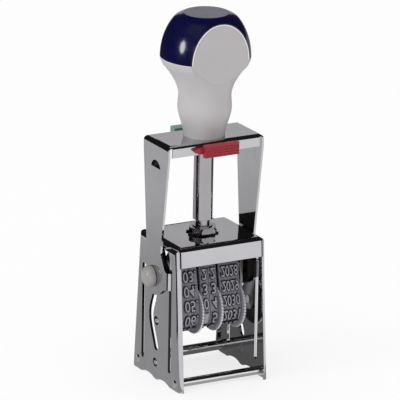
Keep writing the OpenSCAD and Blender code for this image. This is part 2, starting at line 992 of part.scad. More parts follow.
// A closed tube through rings of points, with triangles all over
module tube(rings) {
  n = len(rings[0]);
  last = len(rings) - 1;
  points = [for (ring = rings) for (p = ring) p];
  sides = [
    for (i = [0:last - 1])
      for (k = [0:n - 1])
        let (a = i * n + k, b = i * n + (k + 1) % n)
        each [[a, a + n, b], [b, a + n, b + n]]
  ];
  ends = [for (k = [1:n - 2]) each [[0, k, k + 1], [last * n, last * n + k + 1, last * n + k]]];
  polyhedron(points, concat(sides, ends));
}

module return_spring() {
  path = spring_path();
  echo(spring_least_gap = least_gap(path));
  color(NICKEL)
    tube([for (i = [0:len(path) - 1]) wire_ring(path, i)]);
}

// Carriers and pivots inside the side plates

// A plate between two lugs, with an arched slot that lets the cam pin swing around the pivot
module carrier_outline() {
  slot_half = cam_pin_d / 2 + play;
  difference() {
    union() {
      translate([-lug_out, lug_z])
        square([2 * lug_out, lug_h]);
      translate([0, pivot_z])
        circle(cam_r + slot_half + carrier_rim);
    }
    translate([0, pivot_z]) {
      circle(d = pivot_d);
      intersection() {
        difference() {
          circle(cam_r + slot_half);
          circle(cam_r - slot_half);
        }
        translate([0, -far])
          square(2 * far);
      }
      for (end = [-1, 1])
        translate([0, end * cam_r])
          circle(slot_half);
    }
  }
}

module right_carrier() {
  color("darkgray")
    along_x(carrier_in, carrier_out)
      carrier_outline();
}

module left_carrier() {
  mirror([1, 0, 0])
    right_carrier();
}

module right_pivot_pin() {
  color(NICKEL)
    bar_x(end_in, carrier_out, 0, pivot_z, pivot_d);
}

module left_pivot_pin() {
  mirror([1, 0, 0])
    right_pivot_pin();
}

// Lock slide

// A flat bar with a keyhole: wide around the post at rest, narrow in its grooves when pushed
module lock_bar() {
  color(STEEL)
    translate([0, 0, lock_bar_z])
      linear_extrude(lock_bar_t)
        difference() {
          translate([-lock_bar_half, -lock_front])
            square([2 * lock_bar_half, lock_front + lock_rear]);
          circle(keyhole_r);
          translate([0, -lock_travel])
            circle(groove_slot_r);
          translate([-groove_slot_r, -lock_travel])
            square([2 * groove_slot_r, lock_travel]);
        }
}

// The tongue of a lock button, from its block at y towards the middle, with a pocket for the bar
module tongue(y) {
  length = y - bridge_half_d + tongue_in;
  difference() {
    translate([0, y - length / 2, lock_mid_z])
      rotate([90, 0, 0])
        linear_extrude(length, center = true)
          oblong(tongue_half, tongue_h);
    box(
      [-lock_bar_half - fit, 0, lock_bar_z - fit],
      [lock_bar_half + fit, y, lock_bar_z + lock_bar_t + fit]
    );
  }
}

// The front button: a block with ribs along its face
module lock_button() {
  pitch = lock_button_h / lock_ribs;
  top = lock_mid_z + lock_button_h / 2 - lock_button_drop;
  color("firebrick")
    mirror([0, 1, 0]) {
      tongue(lock_front);
      difference() {
        box(
          [-lock_button_half, lock_front, top - lock_button_h],
          [lock_button_half, lock_front + lock_button_t, top]
        );
        for (i = [1:lock_ribs - 1])
          bar_x(-far, far, lock_front + lock_button_t + pitch / 4, top - i * pitch, pitch);
      }
    }
}

module release_button() {
  top = bridge_z + release_over;
  color("seagreen") {
    tongue(lock_rear);
    difference() {
      box(
        [-lock_button_half, lock_rear, top - release_button_h],
        [lock_button_half, lock_rear + release_button_t, top]
      );
      translate([lock_button_half, lock_rear + release_button_t, 0])
        linear_extrude(far)
          corner_waste(release_corner);
      translate([-lock_button_half, lock_rear + release_button_t, 0])
        mirror([1, 0, 0])
          linear_extrude(far)
            corner_waste(release_corner);
    }
  }
}

// Print unit

// Half width of an end plate at the pivot, between its round end and its square end
module end_plate_outline() {
  difference() {
    union() {
      translate([0, spindle_z])
        circle(end_r);
      polygon([
        [-end_r, spindle_z],
        [end_r, spindle_z],
        [end_half, band_top - band_t - seam],
        [-end_half, band_top - band_t - seam]
      ]);
    }
    translate([0, spindle_z])
      circle(d = spindle_d + 2 * fit);
    translate([0, pivot_z])
      circle(d = pivot_d + 2 * fit);
    translate([0, pivot_z - cam_r])
      circle(d = cam_pin_d + 2 * fit);
  }
}

module type_frame() {
  cross_z = pivot_z - cross_h / 2;
  color("darkgray") {
    both_sides()
      along_x(end_in, end_out)
        end_plate_outline();
    difference() {
      box([-end_in - eps, -cross_d / 2, cross_z], [end_in + eps, cross_d / 2, cross_z + cross_h]);
      both_sides()
        bar_x(end_in - play, far, 0, pivot_z, pivot_d + 2 * fit);
    }
  }
}

// A bar with rounded edges that backs the bands at the printing face
module platen() {
  top = band_top - band_t - seam / 2;
  half = platen_half - band_t - seam;
  r = platen_corner;
  color("saddlebrown")
    along_x(-end_in, end_in) {
      translate([-half, top - platen_h])
        square([2 * half, platen_h - r]);
      translate([-half + r, top - platen_h])
        square([2 * (half - r), platen_h]);
      for (side = [-1, 1])
        translate([side * (half - r), top - r])
          circle(r);
    }
}

module wheel_spindle() {
  color(NICKEL) {
    bar_x(-end_out - eps, end_out + eps, 0, spindle_z, spindle_d);
    both_sides()
      bar_x(end_out, end_out + play, 0, spindle_z, spindle_d + 1);
  }
}

// A cam pin reaches from an end plate through the carrier into the cam slot
module right_cam_pin() {
  color(NICKEL)
    bar_x(end_in, half_w - seam, 0, pivot_z - cam_r, cam_pin_d);
}

module left_cam_pin() {
  mirror([1, 0, 0])
    right_cam_pin();
}

module knurled_disc() {
  polygon([
    for (i = [0:2 * wheel_teeth - 1])
      let (r = wheel_r - tooth_h * (i % 2), a = 180 * i / wheel_teeth)
      [r * cos(a), r * sin(a)]
  ]);
}

// A setting wheel: a drum from x under its band, with a knurled flange beyond the band
module wheel(x, flange_x) {
  color("dimgray")
    difference() {
      union() {
        bar_x(x, flange_x + eps, 0, spindle_z, 2 * drum_r);
        translate([0, 0, spindle_z])
          along_x(flange_x, flange_x + wheel_flange_t)
            knurled_disc();
      }
      bar_x(-far, far, 0, spindle_z, spindle_d + 2 * fit);
    }
}

module year_wheel() {
  wheel(wide_x, wide_flange_x);
}

module units_wheel() {
  wheel(narrow_x, narrow_flange_x);
}

module tens_wheel() {
  mirror([1, 0, 0])
    units_wheel();
}

module month_wheel() {
  mirror([1, 0, 0])
    year_wheel();
}

// Outline around the wheel and the two corners of the platen, with straight runs between them
module belt_outline(grow) {
  wheel_mid = [0, spindle_z];
  wheel_rad = band_in_r + grow;
  corner_rad = platen_corner + grow;
  corner = [platen_half - band_t - platen_corner, band_top - band_t - platen_corner];
  reach = corner - wheel_mid;
  lean = atan2(reach[1], reach[0]) - acos((wheel_rad - corner_rad) / norm(reach));
  polygon(concat(
    arc_points(corner, corner_rad, lean, 90, corner_steps),
    arc_points([-corner[0], corner[1]], corner_rad, 90, 180 - lean, corner_steps),
    arc_points(wheel_mid, wheel_rad, 180 - lean, 360 + lean, belt_steps)
  ));
}

// A rubber band around its wheel and the platen
module band(x, width) {
  color(RUBBER)
    along_x(x, x + width)
      difference() {
        belt_outline(band_t);
        belt_outline(0);
      }
}

module year_band() {
  band(wide_x, wide_band_w);
}

module units_band() {
  band(narrow_x, narrow_band_w);
}

module tens_band() {
  mirror([1, 0, 0])
    units_band();
}

module month_band() {
  mirror([1, 0, 0])
    year_band();
}

frame_shell();
front_tie_rod();
rear_tie_rod();
side_rivets();
left_pad_rail();
right_pad_rail();
guide_post();
post_washer();
post_nut();
pad_tray();
ink_pad();
bridge_yoke();
left_glide_button();
right_glide_button();
guide_bush();
handle_grip();
handle_cap();
return_spring();
left_carrier();
right_carrier();
left_pivot_pin();
right_pivot_pin();
lock_bar();
lock_button();
release_button();
type_frame();
platen();
wheel_spindle();
left_cam_pin();
right_cam_pin();
month_wheel();
tens_wheel();
units_wheel();
year_wheel();
month_band();
tens_band();
units_band();
year_band();
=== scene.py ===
"""Looks of a self inking date stamp: plated sheet metal, moulded handle, date bands and their wheels."""

import json
import logging
import math
from dataclasses import dataclass, field
from enum import Enum, IntEnum
from typing import Any, Iterable, Sequence

import bmesh
import bpy
from mathutils import Matrix, Quaternion, Vector

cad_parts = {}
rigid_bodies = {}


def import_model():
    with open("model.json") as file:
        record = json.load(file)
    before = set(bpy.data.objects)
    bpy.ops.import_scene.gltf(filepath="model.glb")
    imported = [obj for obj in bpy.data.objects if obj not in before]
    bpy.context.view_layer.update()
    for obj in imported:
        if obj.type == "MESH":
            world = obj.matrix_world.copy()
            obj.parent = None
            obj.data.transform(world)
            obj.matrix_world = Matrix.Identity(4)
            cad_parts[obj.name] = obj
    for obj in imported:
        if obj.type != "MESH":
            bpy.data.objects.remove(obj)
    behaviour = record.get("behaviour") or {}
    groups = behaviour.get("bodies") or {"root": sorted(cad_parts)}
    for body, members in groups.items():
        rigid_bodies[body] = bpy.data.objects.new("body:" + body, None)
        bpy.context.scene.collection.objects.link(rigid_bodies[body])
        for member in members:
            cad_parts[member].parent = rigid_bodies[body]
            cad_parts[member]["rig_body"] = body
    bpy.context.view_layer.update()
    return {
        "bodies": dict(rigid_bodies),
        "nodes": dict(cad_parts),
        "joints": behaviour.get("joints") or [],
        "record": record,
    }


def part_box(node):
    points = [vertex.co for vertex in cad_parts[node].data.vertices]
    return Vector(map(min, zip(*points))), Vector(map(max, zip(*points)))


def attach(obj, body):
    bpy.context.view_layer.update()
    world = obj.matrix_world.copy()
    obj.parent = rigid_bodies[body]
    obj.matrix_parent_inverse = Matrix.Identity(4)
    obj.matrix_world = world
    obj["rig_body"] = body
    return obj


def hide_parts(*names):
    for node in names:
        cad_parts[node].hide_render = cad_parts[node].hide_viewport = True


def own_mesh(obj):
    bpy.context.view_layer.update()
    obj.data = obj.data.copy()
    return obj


MM = 0.001
WELD = 0.001 * MM
CUT_WELD = 0.002 * MM
LOG = logging.getLogger("date_stamp")

Colour = tuple[float, float, float]
Point2 = tuple[float, float]
Point3 = tuple[float, float, float]
Shape = bmesh.types.BMesh


class Slot(Enum):
    """Material slots of the record."""

    CHROME = "chrome"
    NICKEL = "nickel"
    ZINC_STEEL = "zinc_steel"
    GREY_PLASTIC = "grey_plastic"
    NAVY_PLASTIC = "navy_plastic"
    IVORY_PLASTIC = "ivory_plastic"
    RED_PLASTIC = "red_plastic"
    GREEN_PLASTIC = "green_plastic"
    BLACK_PLASTIC = "black_plastic"
    PLATEN_PLASTIC = "platen_plastic"
    BRASS = "brass"
    INK_FELT = "ink_felt"
    BAND_RUBBER = "band_rubber"


class Body(Enum):
    """Rigid bodies of the frame that new pieces ride on."""

    FRAME = "frame"
    PAD_CASSETTE = "pad_cassette"
    PRESS_YOKE = "press_yoke"
    LOCK_SLIDE = "lock_slide"
    PRINT_UNIT = "print_unit"


class Carving(Enum):
    """What is done to one closed shape with another."""

    CUT = "DIFFERENCE"
    JOIN = "UNION"


class Side(IntEnum):
    """The stamp's left and right, as signs along X."""

    LEFT = -1
    RIGHT = 1


class Facing(IntEnum):
    """The stamp's front and rear, as signs along Y."""

    FRONT = -1
    REAR = 1


class Value:
    """A shader socket that adds Math nodes where it stands in an expression."""

    def __init__(self, recipe: "Recipe", socket: bpy.types.NodeSocket) -> None:
        """Keeps the recipe that the socket belongs to."""
        self.recipe = recipe
        self.socket = socket

    def math(self, operation: str, first: "Value | float", second: "Value | float") -> "Value":
        """Adds one Math node.

        Args:
            operation: The Math node's operation.
            first: A number or a value.
            second: Another number or value.

        Returns:
            The node's result.
        """
        inputs = {0: first, 1: second}
        return self.recipe.node("ShaderNodeMath", {"operation": operation}, inputs).out("Value")

    def __add__(self, other: "Value | float") -> "Value":
        """Returns self + other."""
        return self.math("ADD", self, other)

    def __radd__(self, other: "Value | float") -> "Value":
        """Returns other + self."""
        return self.math("ADD", other, self)

    def __sub__(self, other: "Value | float") -> "Value":
        """Returns self - other."""
        return self.math("SUBTRACT", self, other)

    def __rsub__(self, other: "Value | float") -> "Value":
        """Returns other - self."""
        return self.math("SUBTRACT", other, self)

    def __mul__(self, other: "Value | float") -> "Value":
        """Returns self * other."""
        return self.math("MULTIPLY", self, other)

    def __rmul__(self, other: "Value | float") -> "Value":
        """Returns other * self."""
        return self.math("MULTIPLY", other, self)

    def largest(self, other: "Value | float") -> "Value":
        """Returns the larger of this value and another."""
        return self.math("MAXIMUM", self, other)


class Node:
    """A shader node whose outputs are read as values."""

    def __init__(self, recipe: "Recipe", node: bpy.types.Node) -> None:
        """Keeps the node and its recipe."""
        self.recipe = recipe
        self.node = node

    def out(self, key: str | int) -> Value:
        """Returns the output of that name or number."""
        return Value(self.recipe, self.node.outputs[key])


class Recipe:
    """The node tree of one material or of the world."""

    NOISE_ROUGHNESS = 0.55
    MIX_FACTOR, MIX_LOW, MIX_HIGH = 0, 6, 7
    MIX_RESULT = 2

    def __init__(self, tree: bpy.types.NodeTree) -> None:
        """Starts from an empty tree."""
        self.tree = tree
        tree.nodes.clear()

    def node(
        self, kind: str, settings: dict[str, Any] | None = None, inputs: dict[str | int, Any] | None = None
    ) -> Node:
        """Adds a node.

        Args:
            kind: The node's type.
            settings: Properties set before its sockets; "stops" are a ramp's (position, grey) pairs.
            inputs: Values or links, by socket name or number.

        Returns:
            The new node.
        """
        node = self.tree.nodes.new(kind)
        for name, value in (settings or {}).items():
            if name == "stops":
                self._set_stops(node.color_ramp, value)
            else:
                setattr(node, name, value)
        for key, value in (inputs or {}).items():
            socket = node.inputs[key]
            if isinstance(value, Value):
                self.tree.links.new(value.socket, socket)
            else:
                socket.default_value = value
        return Node(self, node)

    @staticmethod
    def _set_stops(ramp: bpy.types.ColorRamp, stops: Sequence[Point2]) -> None:
        """Gives a ramp its two stops, each a position and a grey level."""
        for element, (position, level) in zip(ramp.elements, stops):
            element.position = position
            element.color = (*grey(level), 1.0)

    def place(self, scale: Point3 = (1.0, 1.0, 1.0)) -> Value:
        """Returns the piece's own coordinates in metres, stretched by scale."""
        coordinates = self.node("ShaderNodeTexCoord").out("Object")
        mapping = {"Vector": coordinates, "Scale": scale}
        return self.node("ShaderNodeMapping", {"vector_type": "POINT"}, mapping).out("Vector")

    def noise(self, size: float, detail: float, stretch: Point3 = (1.0, 1.0, 1.0)) -> Value:
        """Adds a noise pattern.

        Args:
            size: Size of its blotches in millimetres.
            detail: Octaves of finer noise.
            stretch: Scale of the coordinates along each axis.

        Returns:
            The pattern, about 0.5 on average.
        """
        inputs = {
            "Vector": self.place(stretch),
            "Scale": 1.0 / (size * MM),
            "Detail": detail,
            "Roughness": self.NOISE_ROUGHNESS,
        }
        return self.node("ShaderNodeTexNoise", None, inputs).out("Fac")

    def ramp(self, value: Value, span: Point2) -> Value:
        """Returns a share that rises from 0 to 1 while a value goes over a span."""
        stops = list(zip(span, (0.0, 1.0)))
        return self.node("ShaderNodeValToRGB", {"stops": stops}, {"Fac": value}).out("Color")

    def tint(self, factor: Value, low: Colour, high: Colour) -> Value:
        """Returns a colour between low and high."""
        inputs = {self.MIX_FACTOR: factor, self.MIX_LOW: (*low, 1.0), self.MIX_HIGH: (*high, 1.0)}
        return self.node("ShaderNodeMix", {"data_type": "RGBA"}, inputs).out(self.MIX_RESULT)

    def bump(self, height: Value, depth: float) -> Value:
        """Returns a normal bent by a height pattern, depth in millimetres."""
        inputs = {"Height": height, "Distance": depth * MM, "Strength": 1.0}
        return self.node("ShaderNodeBump", None, inputs).out("Normal")

    def seen(self) -> Value:
        """Returns 1 for what the camera sees, itself or in metal, and 0 for what only lights the stamp."""
        path = self.node("ShaderNodeLightPath")
        camera, glossy, clear = (path.out(f"Is {ray} Ray") for ray in ("Camera", "Glossy", "Transmission"))
        return camera.largest(glossy).largest(clear)

    def principled(self, inputs: dict[str, Any]) -> None:
        """Ends the tree in a Principled shader with those inputs."""
        shader = self.node("ShaderNodeBsdfPrincipled", None, inputs).out("BSDF")
        self.node("ShaderNodeOutputMaterial", None, {"Surface": shader})


def new_material(name: str) -> tuple[bpy.types.Material, Recipe]:
    """Makes an empty material and the recipe that fills it."""
    material = bpy.data.materials.new(name)
    material.use_nodes = True
    return material, Recipe(material.node_tree)


def grey(level: float) -> Colour:
    """Returns a neutral colour."""
    return (level, level, level)


def shade(colour: Colour, factor: float) -> Colour:
    """Returns a colour made darker or lighter by a factor."""
    red, green, blue = (min(1.0, part * factor) for part in colour)
    return (red, green, blue)


@dataclass(frozen=True)
class Finish:
    """A finish by its material's name and main colour. Sizes of every finish are in millimetres."""

    name: str
    colour: Colour

    def make(self) -> bpy.types.Material:
        """Returns the material."""
        material, recipe = new_material(self.name)
        recipe.principled(self.inputs(recipe))
        return material

    def inputs(self, recipe: Recipe) -> dict[str, Any]:
        """Returns the shader's inputs, with the patterns that they take."""
        raise NotImplementedError


@dataclass(frozen=True)
class PlatedSheet(Finish):
    """Bright plating on sheet metal, with wiped smears and faint polishing lines."""

    roughness: float = 0.045
    smear: float = 0.06
    smear_size: float = 16.0
    smear_span: Point2 = (0.42, 0.72)
    smear_shade: float = 0.93
    line_size: float = 0.35
    line_depth: float = 0.0012
    line_stretch: Point3 = (1.0, 1.0, 0.05)

    def inputs(self, recipe: Recipe) -> dict[str, Any]:
        """Returns the shader's inputs."""
        smears = recipe.ramp(recipe.noise(self.smear_size, detail=4.0), self.smear_span)
        lines = recipe.noise(self.line_size, detail=2.0, stretch=self.line_stretch)
        return {
            "Base Color": recipe.tint(smears, self.colour, shade(self.colour, self.smear_shade)),
            "Metallic": 1.0,
            "Roughness": smears * self.smear + self.roughness,
            "Normal": recipe.bump(lines, self.line_depth),
        }


@dataclass(frozen=True)
class MouldedPlastic(Finish):
    """Injection moulded plastic, with a fine spark-eroded grain and slight shading."""

    roughness: float = 0.4
    coat: float = 0.0
    coat_roughness: float = 0.05
    grain: float = 0.22
    grain_depth: float = 0.006
    grain_gain: float = 0.06
    mottle: float = 0.06
    mottle_size: float = 9.0
    handling_size: float = 5.0
    handling_span: Point2 = (0.45, 0.75)
    handling_gain: float = 0.08
    mean_gain: float = 0.05

    def inputs(self, recipe: Recipe) -> dict[str, Any]:
        """Returns the shader's inputs."""
        cloud = recipe.noise(self.mottle_size, detail=4.0)
        pale, deep = shade(self.colour, 1 + self.mottle), shade(self.colour, 1 - self.mottle)
        grain = recipe.noise(self.grain, detail=2.0)
        handling = recipe.ramp(recipe.noise(self.handling_size, detail=5.0), self.handling_span)
        gain = handling * self.handling_gain + grain * self.grain_gain
        return {
            "Base Color": recipe.tint(cloud, deep, pale),
            "Roughness": gain + (self.roughness - self.mean_gain),
            "Coat Weight": self.coat,
            "Coat Roughness": self.coat_roughness,
            "Normal": recipe.bump(grain, self.grain_depth),
        }


@dataclass(frozen=True)
class TurnedSteel(Finish):
    """Plain or plated steel with lathe or rolling lines along one axis."""

    roughness: float = 0.22
    stretch: Point3 = (0.04, 1.0, 1.0)
    line_size: float = 0.16
    line_depth: float = 0.004
    line_gain: float = 0.14
    stain_size: float = 4.0
    stain_span: Point2 = (0.4, 0.75)
    stain_shade: float = 0.84
    stain_gain: float = 0.06
    mean_gain: float = 0.08

    def inputs(self, recipe: Recipe) -> dict[str, Any]:
        """Returns the shader's inputs."""
        lines = recipe.noise(self.line_size, detail=3.0, stretch=self.stretch)
        stain = recipe.ramp(recipe.noise(self.stain_size, detail=5.0), self.stain_span)
        gain = lines * self.line_gain + stain * self.stain_gain
        return {
            "Base Color": recipe.tint(stain, self.colour, shade(self.colour, self.stain_shade)),
            "Metallic": 1.0,
            "Roughness": gain + (self.roughness - self.mean_gain),
            "Normal": recipe.bump(lines, self.line_depth),
        }


@dataclass(frozen=True)
class BandRubber(Finish):
    """Moulded rubber with a dusty bloom and ink left in its pores."""

    bloom: Colour
    roughness: float = 0.62
    dust_size: float = 1.6
    dust_span: Point2 = (0.38, 0.72)
    dust_share: float = 0.7
    dust_gain: float = 0.15
    pore_size: float = 0.14
    pore_share: float = 0.2
    pore_depth: float = 0.03

    def inputs(self, recipe: Recipe) -> dict[str, Any]:
        """Returns the shader's inputs."""
        dust = recipe.ramp(recipe.noise(self.dust_size, detail=6.0), self.dust_span)
        pores = recipe.noise(self.pore_size, detail=3.0)
        bloom = dust * self.dust_share + pores * self.pore_share
        return {
            "Base Color": recipe.tint(bloom, self.colour, self.bloom),
            "Roughness": dust * self.dust_gain + self.roughness,
            "Normal": recipe.bump(pores, self.pore_depth),
        }


@dataclass(frozen=True)
class InkedFelt(Finish):
    """Felt soaked in ink: matted fibres, with wetter and drier patches."""

    dry: Colour
    roughness: float = 0.6
    fibre_size: float = 0.3
    fibre_stretch: float = 0.25
    fibre_share: float = 0.4
    fibre_depth: float = 0.12
    patch_size: float = 7.0
    patch_span: Point2 = (0.35, 0.7)
    patch_share: float = 0.6
    patch_gain: float = 0.3

    def inputs(self, recipe: Recipe) -> dict[str, Any]:
        """Returns the shader's inputs."""
        fibres = recipe.noise(self.fibre_size, detail=6.0, stretch=(1.0, self.fibre_stretch, 1.0))
        cross = recipe.noise(self.fibre_size, detail=6.0, stretch=(self.fibre_stretch, 1.0, 1.0))
        patches = recipe.ramp(recipe.noise(self.patch_size, detail=4.0), self.patch_span)
        dryness = patches * self.patch_share + fibres * self.fibre_share
        return {
            "Base Color": recipe.tint(dryness, self.colour, self.dry),
            "Roughness": patches * self.patch_gain + self.roughness,
            "Normal": recipe.bump(fibres + cross, self.fibre_depth),
        }


class Finishes:
    """Every finish of the stamp, made once."""

    CHROME = PlatedSheet("bright_plating", (0.56, 0.55, 0.575))
    POST = PlatedSheet("bright_post", (0.40, 0.385, 0.40), roughness=0.05, line_stretch=(1.0, 1.0, 8.0))
    ROD = PlatedSheet("bright_rod", (0.74, 0.72, 0.71), roughness=0.07, line_stretch=(0.05, 1.0, 1.0))
    NUT = PlatedSheet("plated_nut", (0.40, 0.39, 0.40), roughness=0.07)
    # Blacked steel on the lock washer; the same near-black is painted shade on the frame's slot and seam
    # walls, the pad rails, the carriers and the arm backings.
    BLACKED = TurnedSteel("blacked_steel_and_painted_shade", (0.040, 0.034, 0.030), 0.4, (1.0, 0.05, 1.0))
    NICKEL = TurnedSteel("nickelled_steel", (0.62, 0.61, 0.61), 0.18)
    ZINC = TurnedSteel("zinc_steel", (0.42, 0.42, 0.43), 0.32, (1.0, 0.05, 1.0))
    SPRING = TurnedSteel("spring_wire", (0.55, 0.55, 0.56), 0.25, (1.0, 1.0, 1.0))
    GRIP = MouldedPlastic(
        "grip_plastic", (0.49, 0.475, 0.485), 0.46, grain=0.3, grain_depth=0.008, mottle=0.03
    )
    # Grip plastic made pale on the beads, a painted highlight.
    BEAD = MouldedPlastic("bead_painted_highlight", (0.88, 0.87, 0.88), 0.3, mottle=0.02)
    CAP = MouldedPlastic(
        "cap_plastic", (0.002, 0.002, 0.038), 0.2, coat=0.6, coat_roughness=0.1, grain_depth=0.001
    )
    BUTTON = MouldedPlastic(
        "button_plastic", (0.31, 0.30, 0.295), 0.3, coat=0.3, grain=0.9, grain_depth=0.05
    )
    RED = MouldedPlastic("red_plastic", (0.33, 0.006, 0.022), 0.36, coat=0.1, grain_depth=0.003)
    GREEN = MouldedPlastic("green_plastic", (0.15, 0.33, 0.22), 0.34, coat=0.3, grain_depth=0.003)
    # Black plastic of the pad tray; the same black is painted shade on the outward faces of the month and
    # year wheels.
    BLACK = MouldedPlastic("black_plastic", (0.022, 0.022, 0.024), 0.45)
    WHEEL = MouldedPlastic("wheel_plastic", (0.40, 0.39, 0.45), 0.42, mottle=0.1)
    # Pale plastic on one flank of each wheel tooth, a painted highlight.
    WORN = MouldedPlastic("teeth_painted_highlight", (0.74, 0.73, 0.77), 0.4, mottle=0.1)
    PLATEN = MouldedPlastic("platen_plastic", (0.16, 0.11, 0.07), 0.5, mottle=0.12)
    BRASS = TurnedSteel("turned_brass", (0.62, 0.45, 0.18), 0.25, (1.0, 1.0, 8.0))
    RUBBER = BandRubber("band_rubber", (0.19, 0.192, 0.225), (0.29, 0.29, 0.325))
    TYPE = BandRubber("type_rubber", (0.36, 0.36, 0.40), (0.47, 0.47, 0.51))
    # Near-black on the flanks of the type, painted shade.
    INK = BandRubber("type_flank_painted_shade", (0.004, 0.004, 0.008), (0.014, 0.014, 0.022), 0.4)
    FELT = InkedFelt("inked_felt", (0.006, 0.007, 0.020), (0.022, 0.024, 0.050))

    def __init__(self) -> None:
        """Starts with no material made."""
        self._made: dict[str, bpy.types.Material] = {}

    def get(self, finish: Finish) -> bpy.types.Material:
        """Returns a finish's material, made on first use."""
        if finish.name not in self._made:
            self._made[finish.name] = finish.make()
        return self._made[finish.name]


@dataclass(frozen=True)
class Edges:
    """Rounded edges of a piece: width in millimetres, segments, and a corner's least angle in degrees."""

    width: float = 0.0
    segments: int = 2
    sharp: float = 32.0


def data_of(name: str, mesh: Shape) -> bpy.types.Mesh:
    """Turns a shape into mesh data of that name, freeing the shape."""
    data = bpy.data.meshes.new(name)
    mesh.to_mesh(data)
    mesh.free()
    return data


def placed(name: str, data: bpy.types.ID) -> bpy.types.Object:
    """Puts a mesh, curve, camera or lamp in the scene as an object."""
    item = bpy.data.objects.new(name, data)
    bpy.context.scene.collection.objects.link(item)
    return item


class Workshop:
    """Adds pieces to the frame: each rides on a body, has a finish and may stand for CAD nodes."""

    NODE_WELD = 0.0005 * MM
    FLAT_DEGREES = 0.4

    def __init__(self, frame: dict[str, Any]) -> None:
        """Keeps the frame's nodes and joints, and the finishes."""
        self.nodes: dict[str, bpy.types.Object] = frame["nodes"]
        self.joints: dict[str, Any] = {joint["name"]: joint for joint in frame["joints"]}
        self.finishes = Finishes()

    def add(
        self,
        name: str,
        mesh: Shape,
        body: Body | str,
        slot: Slot,
        finishes: Sequence[Finish],
        replaces: Sequence[str] = (),
        edges: Edges = Edges(),
    ) -> bpy.types.Object:
        """Turns a bmesh into a piece of the stamp.

        Args:
            name: The piece's name.
            mesh: Its shape in metres, freed here.
            body: The body that it rides on.
            slot: The record's material slot; not used.
            finishes: Finishes by material index.
            replaces: CAD nodes that it stands for.
            edges: How its corners are rounded.

        Returns:
            The new object.
        """
        for face in mesh.faces:
            face.smooth = True
        for edge in mesh.edges:
            edge.smooth = not self.is_sharp(edge, edges.sharp)
        data = data_of(name, mesh)
        piece = placed(name, data)
        for finish in finishes:
            data.materials.append(self.finishes.get(finish))
        if edges.width:
            self.round_edges(piece, edges)
        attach(piece, body.value if isinstance(body, Body) else body)
        if replaces:
            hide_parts(*replaces)
        LOG.info("%s: %d vertices", name, len(data.vertices))
        return piece

    @staticmethod
    def is_sharp(edge: bmesh.types.BMEdge, sharp: float) -> bool:
        """Says whether an edge is a corner and not part of a round."""
        return len(edge.link_faces) == 2 and edge.calc_face_angle(0.0) > math.radians(sharp)

    @staticmethod
    def round_edges(piece: bpy.types.Object, edges: Edges) -> None:
        """Gives a piece's corners small rounded edges that catch the light."""
        bevel = piece.modifiers.new("rounded_edges", "BEVEL")
        bevel.width = edges.width * MM
        bevel.segments = edges.segments
        bevel.limit_method = "ANGLE"
        bevel.angle_limit = math.radians(edges.sharp)
        bevel.use_clamp_overlap = True
        bevel.miter_outer = "MITER_ARC"
        flats = piece.modifiers.new("even_flats", "WEIGHTED_NORMAL")
        flats.mode = "FACE_AREA"
        flats.keep_sharp = True

    def copy_of(self, node: str) -> Shape:
        """Returns a CAD node's shape as one clean mesh.

        Args:
            node: The node's name.

        Returns:
            A mesh whose flat faces are whole again.
        """
        mesh = bmesh.new()
        mesh.from_mesh(self.nodes[node].data)
        bmesh.ops.remove_doubles(mesh, verts=mesh.verts, dist=self.NODE_WELD)
        bmesh.ops.dissolve_limit(
            mesh,
            angle_limit=math.radians(self.FLAT_DEGREES),
            use_dissolve_boundaries=False,
            verts=mesh.verts,
            edges=mesh.edges,
        )
        for layer in list(mesh.loops.layers.uv.values()):
            mesh.loops.layers.uv.remove(layer)
        return mesh

    def dress(self, node: str, slot: Slot, finish: Finish, edges: Edges) -> bpy.types.Object:
        """Replaces a CAD node by its own shape with rounded edges."""
        body = self.nodes[node]["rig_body"]
        return self.add(f"{node}_dressed", self.copy_of(node), body, slot, [finish], [node], edges)

    def paint(self, node: str, finish: Finish) -> None:
        """Gives a CAD node that stays a finish."""
        materials = self.nodes[node].data.materials
        materials.clear()
        materials.append(self.finishes.get(finish))
        LOG.info("%s: painted", node)


def drawn(mesh: Shape, points: Sequence[Vector | Point3]) -> list[Any]:
    """Draws a line through points in metres, and returns its vertices and edges."""
    verts = [mesh.verts.new(point) for point in points]
    return verts + [mesh.edges.new(pair) for pair in zip(verts, verts[1:])]


def spun(
    mesh: Shape, geom: list[Any], turn: float, steps: int, rise: float = 0.0, merge: bool = False
) -> None:
    """Spins part of a mesh about the Z axis.

    Args:
        mesh: The mesh.
        geom: The vertices, edges and faces that are spun.
        turn: How far they turn, in radians.
        steps: Steps of the turn.
        rise: How far each step rises, in metres.
        merge: Whether the last step is joined to the first.
    """
    bmesh.ops.spin(
        mesh,
        geom=geom,
        cent=(0, 0, 0),
        axis=(0, 0, 1),
        dvec=(0, 0, rise),
        angle=turn,
        steps=steps,
        use_merge=merge,
        use_normal_flip=False,
        use_duplicate=False,
    )


def cleaned(mesh: Shape) -> Shape:
    """Merges a shape's doubled vertices and turns its faces outwards."""
    bmesh.ops.remove_doubles(mesh, verts=mesh.verts, dist=WELD)
    bmesh.ops.recalc_face_normals(mesh, faces=mesh.faces)
    return mesh


def lathe(profile: Sequence[Point2], steps: int) -> Shape:
    """Spins a profile about the Z axis.

    Args:
        profile: (radius, height) points in millimetres.
        steps: Steps around the axis.

    Returns:
        The turned shape.
    """
    mesh = bmesh.new()
    line = drawn(mesh, [(radius * MM, 0.0, height * MM) for radius, height in profile])
    spun(mesh, line, 2 * math.pi, steps, merge=True)
    return cleaned(mesh)


